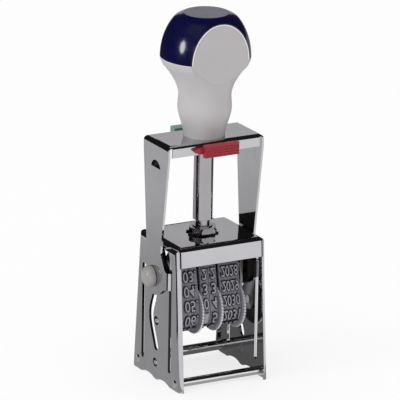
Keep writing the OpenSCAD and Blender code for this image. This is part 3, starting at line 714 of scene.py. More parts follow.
def prism(corners: Sequence[Point3], sweep: Point3) -> Shape:
    """Sweeps a flat outline along a straight line.

    Args:
        corners: The outline's corners in metres.
        sweep: How far it moves along each axis.

    Returns:
        The closed shape.
    """
    mesh = bmesh.new()
    face = mesh.faces.new([mesh.verts.new(corner) for corner in corners])
    grown = bmesh.ops.extrude_face_region(mesh, geom=[face])
    moved = [item for item in grown["geom"] if isinstance(item, bmesh.types.BMVert)]
    bmesh.ops.translate(mesh, verts=moved, vec=sweep)
    bmesh.ops.holes_fill(mesh, edges=[edge for edge in mesh.edges if edge.is_boundary])
    bmesh.ops.recalc_face_normals(mesh, faces=mesh.faces)
    return mesh


def block(low: Vector, high: Vector) -> Shape:
    """Returns a box between two corners, in metres."""
    mesh = bmesh.new()
    size = high - low
    place = Matrix.Translation((low + high) / 2) @ Matrix.Diagonal((*size, 1.0))
    bmesh.ops.create_cube(mesh, size=1.0, matrix=place)
    return mesh


def bend(start: Point2, knee: Point2, end: Point2, steps: int) -> list[Point2]:
    """Points of a curve from start to end that leaves and arrives along the lines to the knee.

    Args:
        start: First point.
        knee: Point where the two tangents cross.
        end: Last point.
        steps: Steps of the curve.

    Returns:
        The points after start, up to end.
    """
    curve = []
    for index in range(1, steps + 1):
        t = index / steps
        weights = ((1 - t) ** 2, 2 * t * (1 - t), t * t)
        x, z = (sum(w * point[axis] for w, point in zip(weights, (start, knee, end))) for axis in (0, 1))
        curve.append((x, z))
    return curve


def carve(target: Shape, tool: Shape, carving: Carving) -> Shape:
    """Cuts one closed shape with another, or joins them.

    Args:
        target: The shape to work on, freed here.
        tool: The other shape, freed here.
        carving: What is done.

    Returns:
        The result.
    """
    objects = []
    for label, mesh in (("target", target), ("tool", tool)):
        data = data_of(f"carve_{label}", mesh)
        objects.append(placed(data.name, data))
    cut = objects[0].modifiers.new("cut", "BOOLEAN")
    cut.operation = carving.value
    cut.solver = "EXACT"
    cut.object = objects[1]
    graph = bpy.context.evaluated_depsgraph_get()
    result = bmesh.new()
    result.from_object(objects[0], graph)
    for item in objects:
        data = item.data
        bpy.data.objects.remove(item)
        bpy.data.meshes.remove(data)
    bmesh.ops.remove_doubles(result, verts=result.verts, dist=CUT_WELD)
    return result


def joined(meshes: Iterable[Shape]) -> Shape:
    """Puts several shapes in one mesh, freeing them."""
    whole = bmesh.new()
    for mesh in meshes:
        data = data_of("part", mesh)
        whole.from_mesh(data)
        bpy.data.meshes.remove(data)
    return whole


def mesh_of(curve: bpy.types.Curve) -> Shape:
    """Returns a curve's surface as a mesh, and removes the curve."""
    item = placed(curve.name, curve)
    data = bpy.data.meshes.new_from_object(item.evaluated_get(bpy.context.evaluated_depsgraph_get()))
    mesh = bmesh.new()
    mesh.from_mesh(data)
    bpy.data.objects.remove(item)
    bpy.data.curves.remove(curve)
    bpy.data.meshes.remove(data)
    return mesh


def bar(points: Sequence[Point3], radius: float) -> Shape:
    """Returns a thin round bar along a path.

    Args:
        points: The path's points in millimetres.
        radius: The bar's radius in millimetres.

    Returns:
        The bar with closed ends.
    """
    curve = bpy.data.curves.new("bar", "CURVE")
    curve.dimensions = "3D"
    curve.bevel_depth = radius * MM
    curve.bevel_resolution = 2
    curve.use_fill_caps = True
    spline = curve.splines.new("POLY")
    spline.points.add(len(points) - 1)
    for place, (x, y, z) in zip(spline.points, points):
        place.co = (x * MM, y * MM, z * MM, 1.0)
    return cleaned(mesh_of(curve))


@dataclass
class Handle:
    """The knob: a grey grip with arched flats, its beads painted pale as a painted highlight, and the dark
    cap. Sizes in millimetres.
    """

    shop: Workshop
    base_r: float = 9.4
    belly_r: float = 12.3
    waist_r: float = 12.0
    belly_rise: float = 13.5
    waist_rise: float = 19.0
    flare: float = 1.75
    lip_rise: float = 33.4
    lip_inset: float = 1.3
    arch_rim: float = 0.5
    arch_foot: float = 1.0
    seam: float = 0.1
    cap_oval: float = 25.0
    shoulder_r: float = 15.0
    top_flat_r: float = 10.3
    edge_slope: float = 18.0
    bead_r: float = 0.26
    bead_set: float = 0.08
    ridge_r: float = 0.18
    bore_r: float = 4.9
    bush_r: float = 5.55
    bush_reach: float = 7.1
    edges: Edges = Edges(0.3, 3, 14.0)
    near: float = 0.0001
    steps: int = 128
    rings: int = 96
    dome_rings: int = 60
    shoulder_rings: int = 20
    base_z: float = field(init=False)
    head_z: float = field(init=False)
    top_z: float = field(init=False)
    head_r: float = field(init=False)
    flat_y: float = field(init=False)
    bore_z: float = field(init=False)

    def __post_init__(self) -> None:
        """Takes the main sizes from the frame."""
        grip_low, grip_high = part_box("handle_grip")
        cap_low, cap_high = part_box("handle_cap")
        self.base_z = grip_low.z / MM
        self.head_z = cap_low.z / MM - self.seam
        self.top_z = cap_high.z / MM
        self.head_r = grip_high.x / MM
        self.flat_y = grip_high.y / MM
        self.bore_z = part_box("return_spring")[1].z / MM + self.seam

    def grip_radius(self, rise: float) -> float:
        """Returns the grip's radius at a height over the bridge."""

        def ease(t: float) -> float:
            """Returns a share from 0 to 1 that starts and ends slowly."""
            return t * t * (3 - 2 * t)

        if rise < self.belly_rise:
            return self.base_r + (self.belly_r - self.base_r) * ease(rise / self.belly_rise)
        if rise < self.waist_rise:
            share = (rise - self.belly_rise) / (self.waist_rise - self.belly_rise)
            return self.belly_r + (self.waist_r - self.belly_r) * ease(share)
        lip_r = self.head_r - self.lip_inset
        if rise < self.lip_rise:
            share = (rise - self.waist_rise) / (self.lip_rise - self.waist_rise)
            return self.waist_r + (lip_r - self.waist_r) * share**self.flare
        share = (rise - self.lip_rise) / (self.head_z - self.base_z - self.lip_rise)
        return lip_r + self.lip_inset * math.sin(math.pi / 2 * share)

    def build(self) -> None:
        """Makes the grip, the beads and the cap."""
        body, slot = Body.PRESS_YOKE, Slot.GREY_PLASTIC
        self.shop.add("grip", self.grip(), body, slot, [Finishes.GRIP], ["handle_grip"], self.edges)
        # The beads are painted pale as a painted highlight.
        self.shop.add("grip_beads", self.beads(), body, slot, [Finishes.BEAD])
        ridges = joined([self.ridge(facing) for facing in Facing])
        self.shop.add("grip_ridges", ridges, body, slot, [Finishes.GRIP])
        self.shop.add("cap", self.cap(), body, Slot.NAVY_PLASTIC, [Finishes.CAP], ["handle_cap"], self.edges)

    def grip(self) -> Shape:
        """Returns the grip: a turned stem and the arched core, cut by two flats and bored for the spring."""
        height = self.head_z - self.base_z
        rises = [height * index / self.rings for index in range(self.rings + 1)]
        outline = [(self.grip_radius(rise), self.base_z + rise) for rise in rises]
        stem = lathe([(0.0, self.base_z), *outline, (0.0, self.head_z)], self.steps)
        body = carve(stem, self.core(self.flat_y + self.arch_rim + self.seam), Carving.JOIN)
        self.trim(body)
        bush_z = self.base_z + self.bush_reach
        mouth_z = self.base_z - self.arch_foot
        bore = lathe(
            [
                (0.0, mouth_z),
                (self.bush_r, mouth_z),
                (self.bush_r, bush_z),
                (self.bore_r, bush_z),
                (self.bore_r, self.bore_z),
                (0.0, self.bore_z),
            ],
            self.steps // 2,
        )
        return carve(body, bore, Carving.CUT)

    def trim(self, mesh: Shape) -> None:
        """Cuts a turned shape along the handle's front and rear flats."""
        for facing in Facing:
            cut = bmesh.ops.bisect_plane(
                mesh,
                geom=mesh.verts[:] + mesh.edges[:] + mesh.faces[:],
                dist=self.near * MM,
                plane_co=(0, facing * self.flat_y * MM, 0),
                plane_no=(0, facing, 0),
                clear_outer=True,
            )
            rim = [item for item in cut["geom_cut"] if isinstance(item, bmesh.types.BMEdge)]
            bmesh.ops.holes_fill(mesh, edges=rim)
        bmesh.ops.recalc_face_normals(mesh, faces=mesh.faces)

    @staticmethod
    def mirrored(right: Sequence[Point2]) -> list[Point2]:
        """Returns the right half of an arch, which ends on the axis, and then its left half."""
        return [*right, *((-x, z) for x, z in reversed(right[:-1]))]

    def core(self, flat: float) -> Shape:
        """Returns a bar across the handle whose section is the cap's own, cut at a distance from the axis.

        Args:
            flat: Distance of the cut from the axis in millimetres.

        Returns:
            A closed bar that reaches past both flats.
        """
        reach = self.head_r * MM
        outline = self.mirrored(self.arch_outline(flat))
        return prism([(x * MM, -reach, z * MM) for x, z in outline], (0.0, 2 * reach, 0.0))

    def arch_outline(self, flat: float) -> list[Point2]:
        """Returns the right half of the cap's section at a distance from the axis, from its foot upwards."""
        outline = self.cap_outline()
        outside = [point for point in outline if point[0] > flat]
        (last_r, last_z), (next_r, next_z) = outline[len(outside) - 1], outline[len(outside)]
        top = last_z + (next_z - last_z) * (last_r - flat) / (last_r - next_r)
        points = [(math.sqrt(radius**2 - flat**2), height) for radius, height in outside]
        return [(points[0][0], self.head_z - self.arch_foot), *points, (0.0, top)]

    def cap_outline(self) -> list[Point2]:
        """Returns the cap's side and top from its rim to the axis."""
        turn = math.acos(self.shoulder_r / self.head_r)
        rim = math.asin(self.seam / self.cap_oval)
        side = []
        for index in range(self.dome_rings + 1):
            angle = rim + (turn - rim) * index / self.dome_rings
            side.append((self.head_r * math.cos(angle), self.head_z + self.cap_oval * math.sin(angle)))
        start, end = side[-1], (self.top_flat_r, self.top_z)
        fall = math.atan2(self.cap_oval * math.cos(turn), self.head_r * math.sin(turn))
        slope = math.radians(self.edge_slope)
        run, drop = start[0] - end[0], end[1] - start[1]
        reach = (run * math.sin(fall) - drop * math.cos(fall)) / math.sin(fall - slope)
        knee = (end[0] + reach * math.cos(slope), end[1] - reach * math.sin(slope))
        return [*side, *bend(start, knee, end, self.shoulder_rings), (0.0, self.top_z)]

    def cap(self) -> Shape:
        """Returns the cap: a turned dome cut by the flats, with the tunnel that the grip's core fills."""
        dome = lathe([(0.0, self.head_z + self.seam), *self.cap_outline()], self.steps)
        self.trim(dome)
        return carve(dome, self.core(self.flat_y + self.arch_rim), Carving.CUT)

    def beads(self) -> Shape:
        """Returns the beads along the arches and along the cap's lower rim, painted pale as a painted
        highlight.
        """
        return joined([*map(self.arch_bead, Facing), *map(self.rim_bead, Side)])

    def arch_bead(self, facing: Facing) -> Shape:
        """Returns the bead of one arch, a thin bar in the seam under the cap."""
        outline = self.mirrored(self.arch_outline(self.flat_y + self.arch_rim + self.seam)[1:])
        depth = facing * (self.flat_y - self.bead_set)
        return bar([(x, depth, z) for x, z in outline], self.bead_r)

    def ridge(self, facing: Facing) -> Shape:
        """Returns the fine ridge along the lower edge of one flat."""
        height = self.head_z - self.base_z
        points = []
        for index in range(self.rings + 1):
            rise = self.waist_rise + (height - self.waist_rise) * index / self.rings
            across = self.grip_radius(rise) ** 2 - self.flat_y**2
            if across > 0:
                points.append((math.sqrt(across), self.base_z + rise))
        outline = [(-x, z) for x, z in reversed(points)] + points
        return bar([(x, facing * self.flat_y, z) for x, z in outline], self.ridge_r)

    def rim_bead(self, side: Side) -> Shape:
        """Returns the bead under one side of the cap's rim."""
        radius = self.head_r - self.bead_r
        reach = math.asin((self.flat_y - self.bead_r) / radius)
        path = []
        for index in range(self.steps + 1):
            turn = reach * (2 * index / self.steps - 1)
            path.append((side * radius * math.cos(turn), radius * math.sin(turn), self.head_z - self.bead_r))
        return bar(path, self.bead_r)


@dataclass
class GuidePost:
    """The bright post with its lock grooves, its washer, nut and bush. Sizes in millimetres."""

    shop: Workshop
    stud_r: float = 3.0
    groove_r: float = 3.2
    groove_h: float = 3.0
    chamfer: float = 0.6
    teeth: int = 10
    tooth_root: float = 0.7
    post_edges: Edges = Edges(0.12)
    star_edges: Edges = Edges(0.15)
    nut_edges: Edges = Edges(0.25, 3)
    bush_edges: Edges = Edges(0.15)
    steps: int = 64

    def build(self) -> None:
        """Makes the post and its washer, and dresses what stands around them."""
        body = Body.FRAME
        self.shop.add(
            "post", self.post(), body, Slot.CHROME, [Finishes.POST], ["guide_post"], self.post_edges
        )
        self.shop.add(
            "washer", self.star(), body, Slot.NICKEL, [Finishes.BLACKED], ["post_washer"], self.star_edges
        )
        self.shop.dress("post_nut", Slot.NICKEL, Finishes.NUT, self.nut_edges)
        self.shop.dress("guide_bush", Slot.BRASS, Finishes.BRASS, self.bush_edges)

    def star(self) -> Shape:
        """Returns the toothed lock washer under the nut."""
        low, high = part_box("post_washer")
        corners = []
        for index in range(2 * self.teeth):
            turn = math.pi * index / self.teeth
            reach = high.x if index % 2 == 0 else high.x * self.tooth_root
            corners.append((reach * math.cos(turn), reach * math.sin(turn), low.z))
        return prism(corners, (0.0, 0.0, high.z - low.z))

    def post(self) -> Shape:
        """Returns the turned post."""
        low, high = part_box("guide_post")
        radius = high.x / MM
        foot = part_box("post_washer")[0].z / MM
        bar_low, bar_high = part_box("lock_bar")
        groove = (bar_low.z + bar_high.z) / 2 / MM
        stroke = self.shop.joints["press_slide"]["range_m"][1] / MM
        profile = [(0.0, low.z / MM), (self.stud_r, low.z / MM), (self.stud_r, foot), (radius, foot)]
        for middle in (groove - stroke, groove):
            profile += [
                (radius, middle - self.groove_h / 2),
                (self.groove_r, middle - self.groove_h / 2),
                (self.groove_r, middle + self.groove_h / 2),
                (radius, middle + self.groove_h / 2),
            ]
        top = high.z / MM
        profile += [(radius, top - self.chamfer), (radius - self.chamfer, top), (0.0, top)]
        return lathe(profile, self.steps)


@dataclass
class SheetMetal:
    """The bent frame and bridge, their rods and rivets, and the glide buttons. Sizes in millimetres."""

    shop: Workshop
    edge: float = 0.16
    bridge_half: float = 11.7
    flange_bend: float = 2.0
    corner_bend: float = 3.7
    plate_t: float = 1.3
    head_taper: float = 0.5
    head_edges: Edges = Edges(0.12)
    rail_edges: Edges = Edges(0.1)
    apron_h: float = 9.0
    front_top: float = 18.0
    seam_x: float = 21.0
    seam_half: float = 0.36
    seam_end: float = 1.4
    slot_reach: float = 14.6
    wall_slope: float = 0.9
    bend_steps: int = 8
    arm_sheet: float = 1.0
    hole_drop: float = 12.4
    backing: Point3 = (10.6, 5.6, 0.2)
    backing_sink: float = 1.0
    backing_slope: float = 0.5
    button_rim: float = 0.9
    button_edge: float = 0.3
    button_steps: int = 16
    button_sides: int = 48

    def build(self) -> None:
        """Dresses the sheet metal and makes the glide buttons."""
        self.shell()
        self.bridge()
        for side in Side:
            self.arm_backing(side)
        for node, finish in (
            ("front_tie_rod", Finishes.ROD),
            ("rear_tie_rod", Finishes.ROD),
            ("side_rivets", Finishes.NICKEL),
        ):
            self.crowned(node, finish)
        # The pad rails and carriers get the near-black finish as painted shade inside the frame.
        for node in ("left_pad_rail", "right_pad_rail", "left_carrier", "right_carrier"):
            self.shop.dress(node, Slot.ZINC_STEEL, Finishes.BLACKED, self.rail_edges)
        for node in ("left_pivot_pin", "right_pivot_pin"):
            self.shop.paint(node, Finishes.NICKEL)
        for side in Side:
            self.glide_button(side)

    def crowned(self, node: str, finish: Finish) -> None:
        """Dresses rivets, with heads that taper outwards.

        Args:
            node: The CAD node.
            finish: Its finish.
        """
        mesh = self.shop.copy_of(node)
        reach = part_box(node)[1].x - self.edge * MM
        heads = [face for face in mesh.faces if abs(face.calc_center_median().x) > reach]
        moved = {vert: face.calc_center_median() for face in heads for vert in face.verts}
        for vert, middle in moved.items():
            vert.co = middle + (vert.co - middle) * self.head_taper
        self.shop.add(f"{node}_dressed", mesh, Body.FRAME, Slot.NICKEL, [finish], [node], self.head_edges)

    def bridge(self) -> None:
        """Dresses the bridge, and rounds the bends between its top and its flanges."""
        mesh = self.shop.copy_of("bridge_yoke")
        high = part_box("bridge_yoke")[1]
        reach = high.x + self.flange_bend * MM
        for facing in Facing:
            waste = self.bend_waste(self.bridge_half * MM, high.z, self.flange_bend * MM, reach)
            turn = Matrix.Rotation(facing * math.pi / 2, 3, "Z")
            bmesh.ops.rotate(waste, verts=waste.verts, matrix=turn)
            mesh = carve(mesh, waste, Carving.CUT)
        body, finishes = Body.PRESS_YOKE, [Finishes.CHROME]
        self.shop.add("bridge", mesh, body, Slot.CHROME, finishes, ["bridge_yoke"], Edges(self.edge))

    def shell(self) -> None:
        """Dresses the frame, with rounder top corners, and seams and slots whose walls are painted
        near-black as painted shade.
        """
        mesh = self.shop.copy_of("frame_shell")
        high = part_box("frame_shell")[1]
        for turn in (0.0, math.pi):
            waste = self.bend_waste(high.x, high.z, self.corner_bend * MM, high.y + self.corner_bend * MM)
            bmesh.ops.rotate(waste, verts=waste.verts, matrix=Matrix.Rotation(turn, 3, "Z"))
            mesh = carve(mesh, waste, Carving.CUT)
        for side in Side:
            mesh = carve(mesh, self.seam(side), Carving.CUT)
        finishes = [Finishes.CHROME, Finishes.BLACKED]
        # Faces in the slots and seams get painted shade: the near-black finish stands in for the shade
        # inside them.
        for face in mesh.faces:
            if self.is_blacked(face, high):
                face.material_index = finishes.index(Finishes.BLACKED)
        self.shop.add("shell", mesh, Body.FRAME, Slot.CHROME, finishes, ["frame_shell"], Edges(self.edge))

    def is_blacked(self, face: bmesh.types.BMFace, high: Vector) -> bool:
        """Says whether a face of the frame lies in the left plate's slots or in a seam, where it is painted
        near-black as painted shade.

        Args:
            face: The face.
            high: The frame's highest corner.

        Returns:
            Whether light hardly gets there.
        """
        middle = face.calc_center_median()
        reach = self.slot_reach * MM
        if middle.y < -reach:
            in_seam = abs(abs(middle.x) / MM - self.seam_x) < self.seam_half
            return in_seam and middle.z > high.z - self.apron_h * MM
        in_plate = middle.x < self.plate_t * MM - high.x
        return in_plate and abs(middle.y) < reach and abs(face.normal.y) > self.wall_slope

    def seam(self, side: Side) -> Shape:
        """Returns what is cut out between the apron and a flange.

        Args:
            side: Left or right.

        Returns:
            A thin bar that leans as the frame's front does.
        """
        low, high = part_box("frame_shell")
        half = Vector((self.seam_half, self.seam_half, 0.0)) * MM
        foot = Vector((side * self.seam_x * MM, low.y, high.z - (self.apron_h + self.edge) * MM))
        head = Vector((foot.x, foot.y, high.z - self.seam_end * MM))
        mesh = block(foot - half, head + half)
        lean = (self.front_top * MM + low.y) / (high.z - low.z)
        for vert in mesh.verts:
            vert.co.y -= lean * (vert.co.z - low.z)
        return mesh

    def bend_waste(self, out: float, top: float, radius: float, reach: float) -> Shape:
        """Returns what is cut off a corner along Y so that it is round, in metres.

        Args:
            out: Where the corner lies along X.
            top: Where it lies along Z.
            radius: The rounding.
            reach: How far the cut goes to either side along Y.

        Returns:
            A closed bar along the corner.
        """
        turns = [math.pi / 2 * index / self.bend_steps for index in range(self.bend_steps + 1)]
        root_x, root_z = out - radius, top - radius
        arc = [(root_x + radius * math.cos(turn), root_z + radius * math.sin(turn)) for turn in turns]
        outline = [*arc, (root_x, top + radius), (out + radius, top + radius), (out + radius, root_z)]
        return prism([(x, -reach, z) for x, z in outline], (0.0, 2 * reach, 0.0))

    def arm_backing(self, side: Side) -> None:
        """Makes the thin plate inside an arm, whose outward face is painted near-black as painted shade
        behind the arm's half round hole.

        Args:
            side: Left or right.
        """
        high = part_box("bridge_yoke")[1]
        face = high.x - self.arm_sheet * MM
        foot = high.z - self.hole_drop * MM - self.backing_sink * MM
        width, height, thickness = (size * MM for size in self.backing)
        mesh = block(Vector((face - thickness, -width / 2, foot)), Vector((face, width / 2, foot + height)))
        if side is Side.LEFT:
            bmesh.ops.rotate(mesh, verts=mesh.verts, cent=(0, 0, 0), matrix=Matrix.Rotation(math.pi, 3, "Z"))
        finishes = [Finishes.CHROME, Finishes.BLACKED]
        # Outward faces are painted near-black as painted shade seen through the hole.
        for panel in mesh.faces:
            if panel.normal.x * side > self.backing_slope:
                panel.material_index = finishes.index(Finishes.BLACKED)
        name = f"{side.name.lower()}_arm_backing"
        self.shop.add(name, mesh, Body.PRESS_YOKE, Slot.CHROME, finishes)

    def glide_button(self, side: Side) -> None:
        """Makes the domed button with a rounded rim on the outside of an arm.

        Args:
            side: Left or right.
        """
        node = f"{side.name.lower()}_glide_button"
        low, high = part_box(node)
        radius = (high.y - low.y) / 2 / MM
        height = (high.x - low.x) / MM
        dome = height - self.button_rim
        profile = [
            (0.0, 0.0),
            (radius - self.button_edge, 0.0),
            (radius, self.button_edge),
            (radius, self.button_rim),
        ]
        for index in range(1, self.button_steps):
            angle = math.pi / 2 * index / self.button_steps
            profile.append((radius * math.cos(angle), self.button_rim + dome * math.sin(angle)))
        profile.append((0.0, height))
        mesh = lathe(profile, self.button_sides)
        root = high.x if side is Side.LEFT else low.x
        centre = (root, (low.y + high.y) / 2, (low.z + high.z) / 2)
        place = Matrix.Translation(centre) @ Matrix.Rotation(side * math.pi / 2, 4, "Y")
        bmesh.ops.transform(mesh, matrix=place, verts=mesh.verts)
        name = f"{side.name.lower()}_glide_knob"
        self.shop.add(name, mesh, Body.PRESS_YOKE, Slot.IVORY_PLASTIC, [Finishes.BUTTON], [node])


@dataclass
class LockSlide:
    """The lock bar with its red front button and green rear button. Sizes in millimetres."""

    shop: Workshop
    block_rise: float = 0.9
    block_half: float = 8.7
    lug_trim: float = 1.4
    rib_depth: float = 0.5
    near: float = 0.01
    bar_edges: Edges = Edges(0.12)
    red_edges: Edges = Edges(0.18, 3)
    green_edges: Edges = Edges(0.3, 3)

    def build(self) -> None:
        """Dresses the three pieces."""
        self.shop.dress("lock_bar", Slot.CHROME, Finishes.CHROME, self.bar_edges)
        self.red_button()
        self.shop.dress("release_button", Slot.GREEN_PLASTIC, Finishes.GREEN, self.green_edges)

    def red_button(self) -> None:
        """Dresses the red button with its block higher and its right lug shorter than the CAD's."""
        mesh = self.shop.copy_of("lock_button")
        low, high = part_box("lock_button")
        for vert in mesh.verts:
            ends = min(vert.co.z - low.z, high.z - vert.co.z) < self.near * MM
            if ends or vert.co.y < low.y + self.rib_depth * MM:
                vert.co.z += self.block_rise * MM
            if vert.co.x > (self.block_half + self.near) * MM:
                vert.co.x -= self.lug_trim * MM
        body, finishes = Body.LOCK_SLIDE, [Finishes.RED]
        self.shop.add(
            "red_lock_button", mesh, body, Slot.RED_PLASTIC, finishes, ["lock_button"], self.red_edges
        )


@dataclass
class PrintUnit:
    """The end plates, platen, spindle and wheels, and the bands with their type. Sizes in millimetres."""

    BAND_FINISHES = (Finishes.RUBBER, Finishes.TYPE, Finishes.INK)
    # Sides whose wheel faces are painted black as painted shade.
    OUTWARD = {"month": Side.LEFT, "year": Side.RIGHT}

    shop: Workshop
    relief: float = 0.8
    row_pitch: float = 6.8
    glyph_h: float = 5.9
    slice_h: float = 0.55
    slice_near: float = 0.001
    side_margin: float = 0.5
    sink: float = 0.05
    font_size: float = 7.0
    font_steps: int = 3
    font_weld: float = 0.002
    stroke_gain: float = 0.03
    shoulder: float = 0.44
    top_slope: float = 0.9
    widest: float = 1.25
    worn_depth: float = 0.54
    flank_slope: float = 0.1
    outer_slope: float = 0.9
    month_inset: float = 1.8
    frame_edges: Edges = Edges(0.12)
    platen_edges: Edges = Edges(0.15)
    pin_edges: Edges = Edges(0.2)
    wheel_edges: Edges = Edges(0.1)
    years: tuple[int, int] = (2026, 2038)
    wheel_z: float = field(init=False)

    def __post_init__(self) -> None:
        """Takes the spindle's height from the frame."""
        low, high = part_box("wheel_spindle")
        self.wheel_z = (low.z + high.z) / 2 / MM

    def build(self) -> None:
        """Dresses the steel pieces and wheels, and makes the bands."""
        self.shop.dress("type_frame", Slot.ZINC_STEEL, Finishes.ZINC, self.frame_edges)
        self.shop.dress("platen", Slot.PLATEN_PLASTIC, Finishes.PLATEN, self.platen_edges)
        for node in ("left_cam_pin", "right_cam_pin"):
            self.shop.dress(node, Slot.NICKEL, Finishes.NICKEL, self.pin_edges)
        self.shop.dress("wheel_spindle", Slot.NICKEL, Finishes.NICKEL, self.frame_edges)
        for name in ("month", "tens", "units", "year"):
            self.wheel(name)
        self.band("month", [f"{month:02d}." for month in range(1, 13)], self.month_inset)
        self.band("tens", [str(ten) for ten in (0, 1, 2, 3)] * 3)
        self.band("units", [str(unit) for unit in range(10)])
        self.band("year", [str(year) for year in range(*self.years)])

    def wheel(self, name: str) -> None:
        """Dresses a setting wheel, with one flank of each tooth painted pale as a painted highlight and its
        outward face painted black as painted shade.
        """
        node = f"{name}_wheel"
        mesh = self.shop.copy_of(node)
        axis = Vector((0.0, 0.0, self.wheel_z * MM))
        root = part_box(node)[1].y - self.worn_depth * MM
        finishes = [Finishes.WHEEL, Finishes.WORN, Finishes.BLACK]
        # One flank of each tooth is painted pale as a painted highlight; the month and year wheels' outward
        # faces are painted black as painted shade.
        for face in mesh.faces:
            spoke = face.calc_center_median() - axis
            spoke.x = 0.0
            if spoke.length > root and face.normal.cross(spoke).x > self.flank_slope * spoke.length:
                face.material_index = finishes.index(Finishes.WORN)
            elif name in self.OUTWARD and face.normal.x * self.OUTWARD[name] > self.outer_slope:
                face.material_index = finishes.index(Finishes.BLACK)
        body, slot = f"{name}_setter", Slot.BLACK_PLASTIC
        self.shop.add(f"{name}_setting_wheel", mesh, body, slot, finishes, [node], self.wheel_edges)

    def band(self, name: str, rows: Sequence[str], inset: float = 0.0) -> None:
        """Makes one band: its loop, and a row of type for each entry.

        Args:
            name: The band's name.
            rows: Characters of its rows, from the printing face down the front.
            inset: How much room is left free along its left edge, in millimetres.
        """
        node = f"{name}_band"
        pieces = [self.shop.copy_of(node)]
        belt = BeltPath(node, self.wheel_z)
        low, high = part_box(node)
        middle = (low.x + high.x) / 2 / MM + inset / 2
        width = (high.x - low.x) / MM - 2 * self.side_margin - inset
        for index, text in enumerate(rows):
            pieces.append(self.row_of_type(text, belt, index * self.row_pitch, middle, width))
        body, slot = Body.PRINT_UNIT, Slot.BAND_RUBBER
        self.shop.add(f"{name}_date_band", joined(pieces), body, slot, self.BAND_FINISHES, [node])

    def row_of_type(
        self, text: str, belt: "BeltPath", station: float, middle: float, width: float
    ) -> Shape:
        """Returns one row of raised type, bent along its band.

        Args:
            text: Characters of the row.
            belt: The band's outer path.
            station: Distance of the row's middle along the path, from the middle of the printing face.
            middle: Where the band's middle lies along X, in millimetres.
            width: Greatest width of the row.

        Returns:
            The closed letters, standing on the band.
        """
        mesh = self.flat_type(text, width)
        levels = int(self.glyph_h / self.slice_h)
        for index in range(1, levels):
            height = (index / levels - 0.5) * self.glyph_h
            bmesh.ops.bisect_plane(
                mesh,
                geom=mesh.verts[:] + mesh.edges[:] + mesh.faces[:],
                dist=self.slice_near,
                plane_co=(0, height, 0),
                plane_no=(0, 1, 0),
            )
        for vert in mesh.verts:
            across, along, lift = vert.co
            point, normal = belt.at(station + along)
            place = point + normal * (lift - self.sink)
            vert.co = Vector(((middle + across) * MM, place.x * MM, place.y * MM))
        bmesh.ops.recalc_face_normals(mesh, faces=mesh.faces)
        return mesh

    def flat_type(self, text: str, width: float) -> Shape:
        """Returns a row's characters laid flat, with their relief, in millimetres, centred on the origin.

        Args:
            text: The characters.
            width: Greatest width of the row.

        Returns:
            Closed characters whose tops are a paler rubber than the band and whose flanks are painted
            near-black as painted shade.
        """
        curve = bpy.data.curves.new("row", "FONT")
        curve.body = text
        curve.size = self.font_size
        curve.resolution_u = self.font_steps
        curve.offset = self.stroke_gain
        curve.extrude = self.relief / 2
        curve.bevel_depth = self.shoulder
        curve.bevel_resolution = 0
        mesh = mesh_of(curve)
        bmesh.ops.remove_doubles(mesh, verts=mesh.verts, dist=self.font_weld)
        low = Vector([min(v.co[i] for v in mesh.verts) for i in range(3)])
        high = Vector([max(v.co[i] for v in mesh.verts) for i in range(3)])
        size = high - low
        stretch = min(width / size.x, self.widest * self.glyph_h / size.y)
        scale = Matrix.Diagonal((stretch, self.glyph_h / size.y, (self.relief + self.sink) / size.z, 1.0))
        shift = Matrix.Translation(-Vector(((low.x + high.x) / 2, (low.y + high.y) / 2, low.z)))
        bmesh.ops.transform(mesh, matrix=scale @ shift, verts=mesh.verts)
        bmesh.ops.recalc_face_normals(mesh, faces=mesh.faces)
        # Tops take the paler type rubber; every flank is painted near-black as painted shade.
        for face in mesh.faces:
            finish = Finishes.TYPE if face.normal.z > self.top_slope else Finishes.INK
            face.material_index = self.BAND_FINISHES.index(finish)
        return mesh


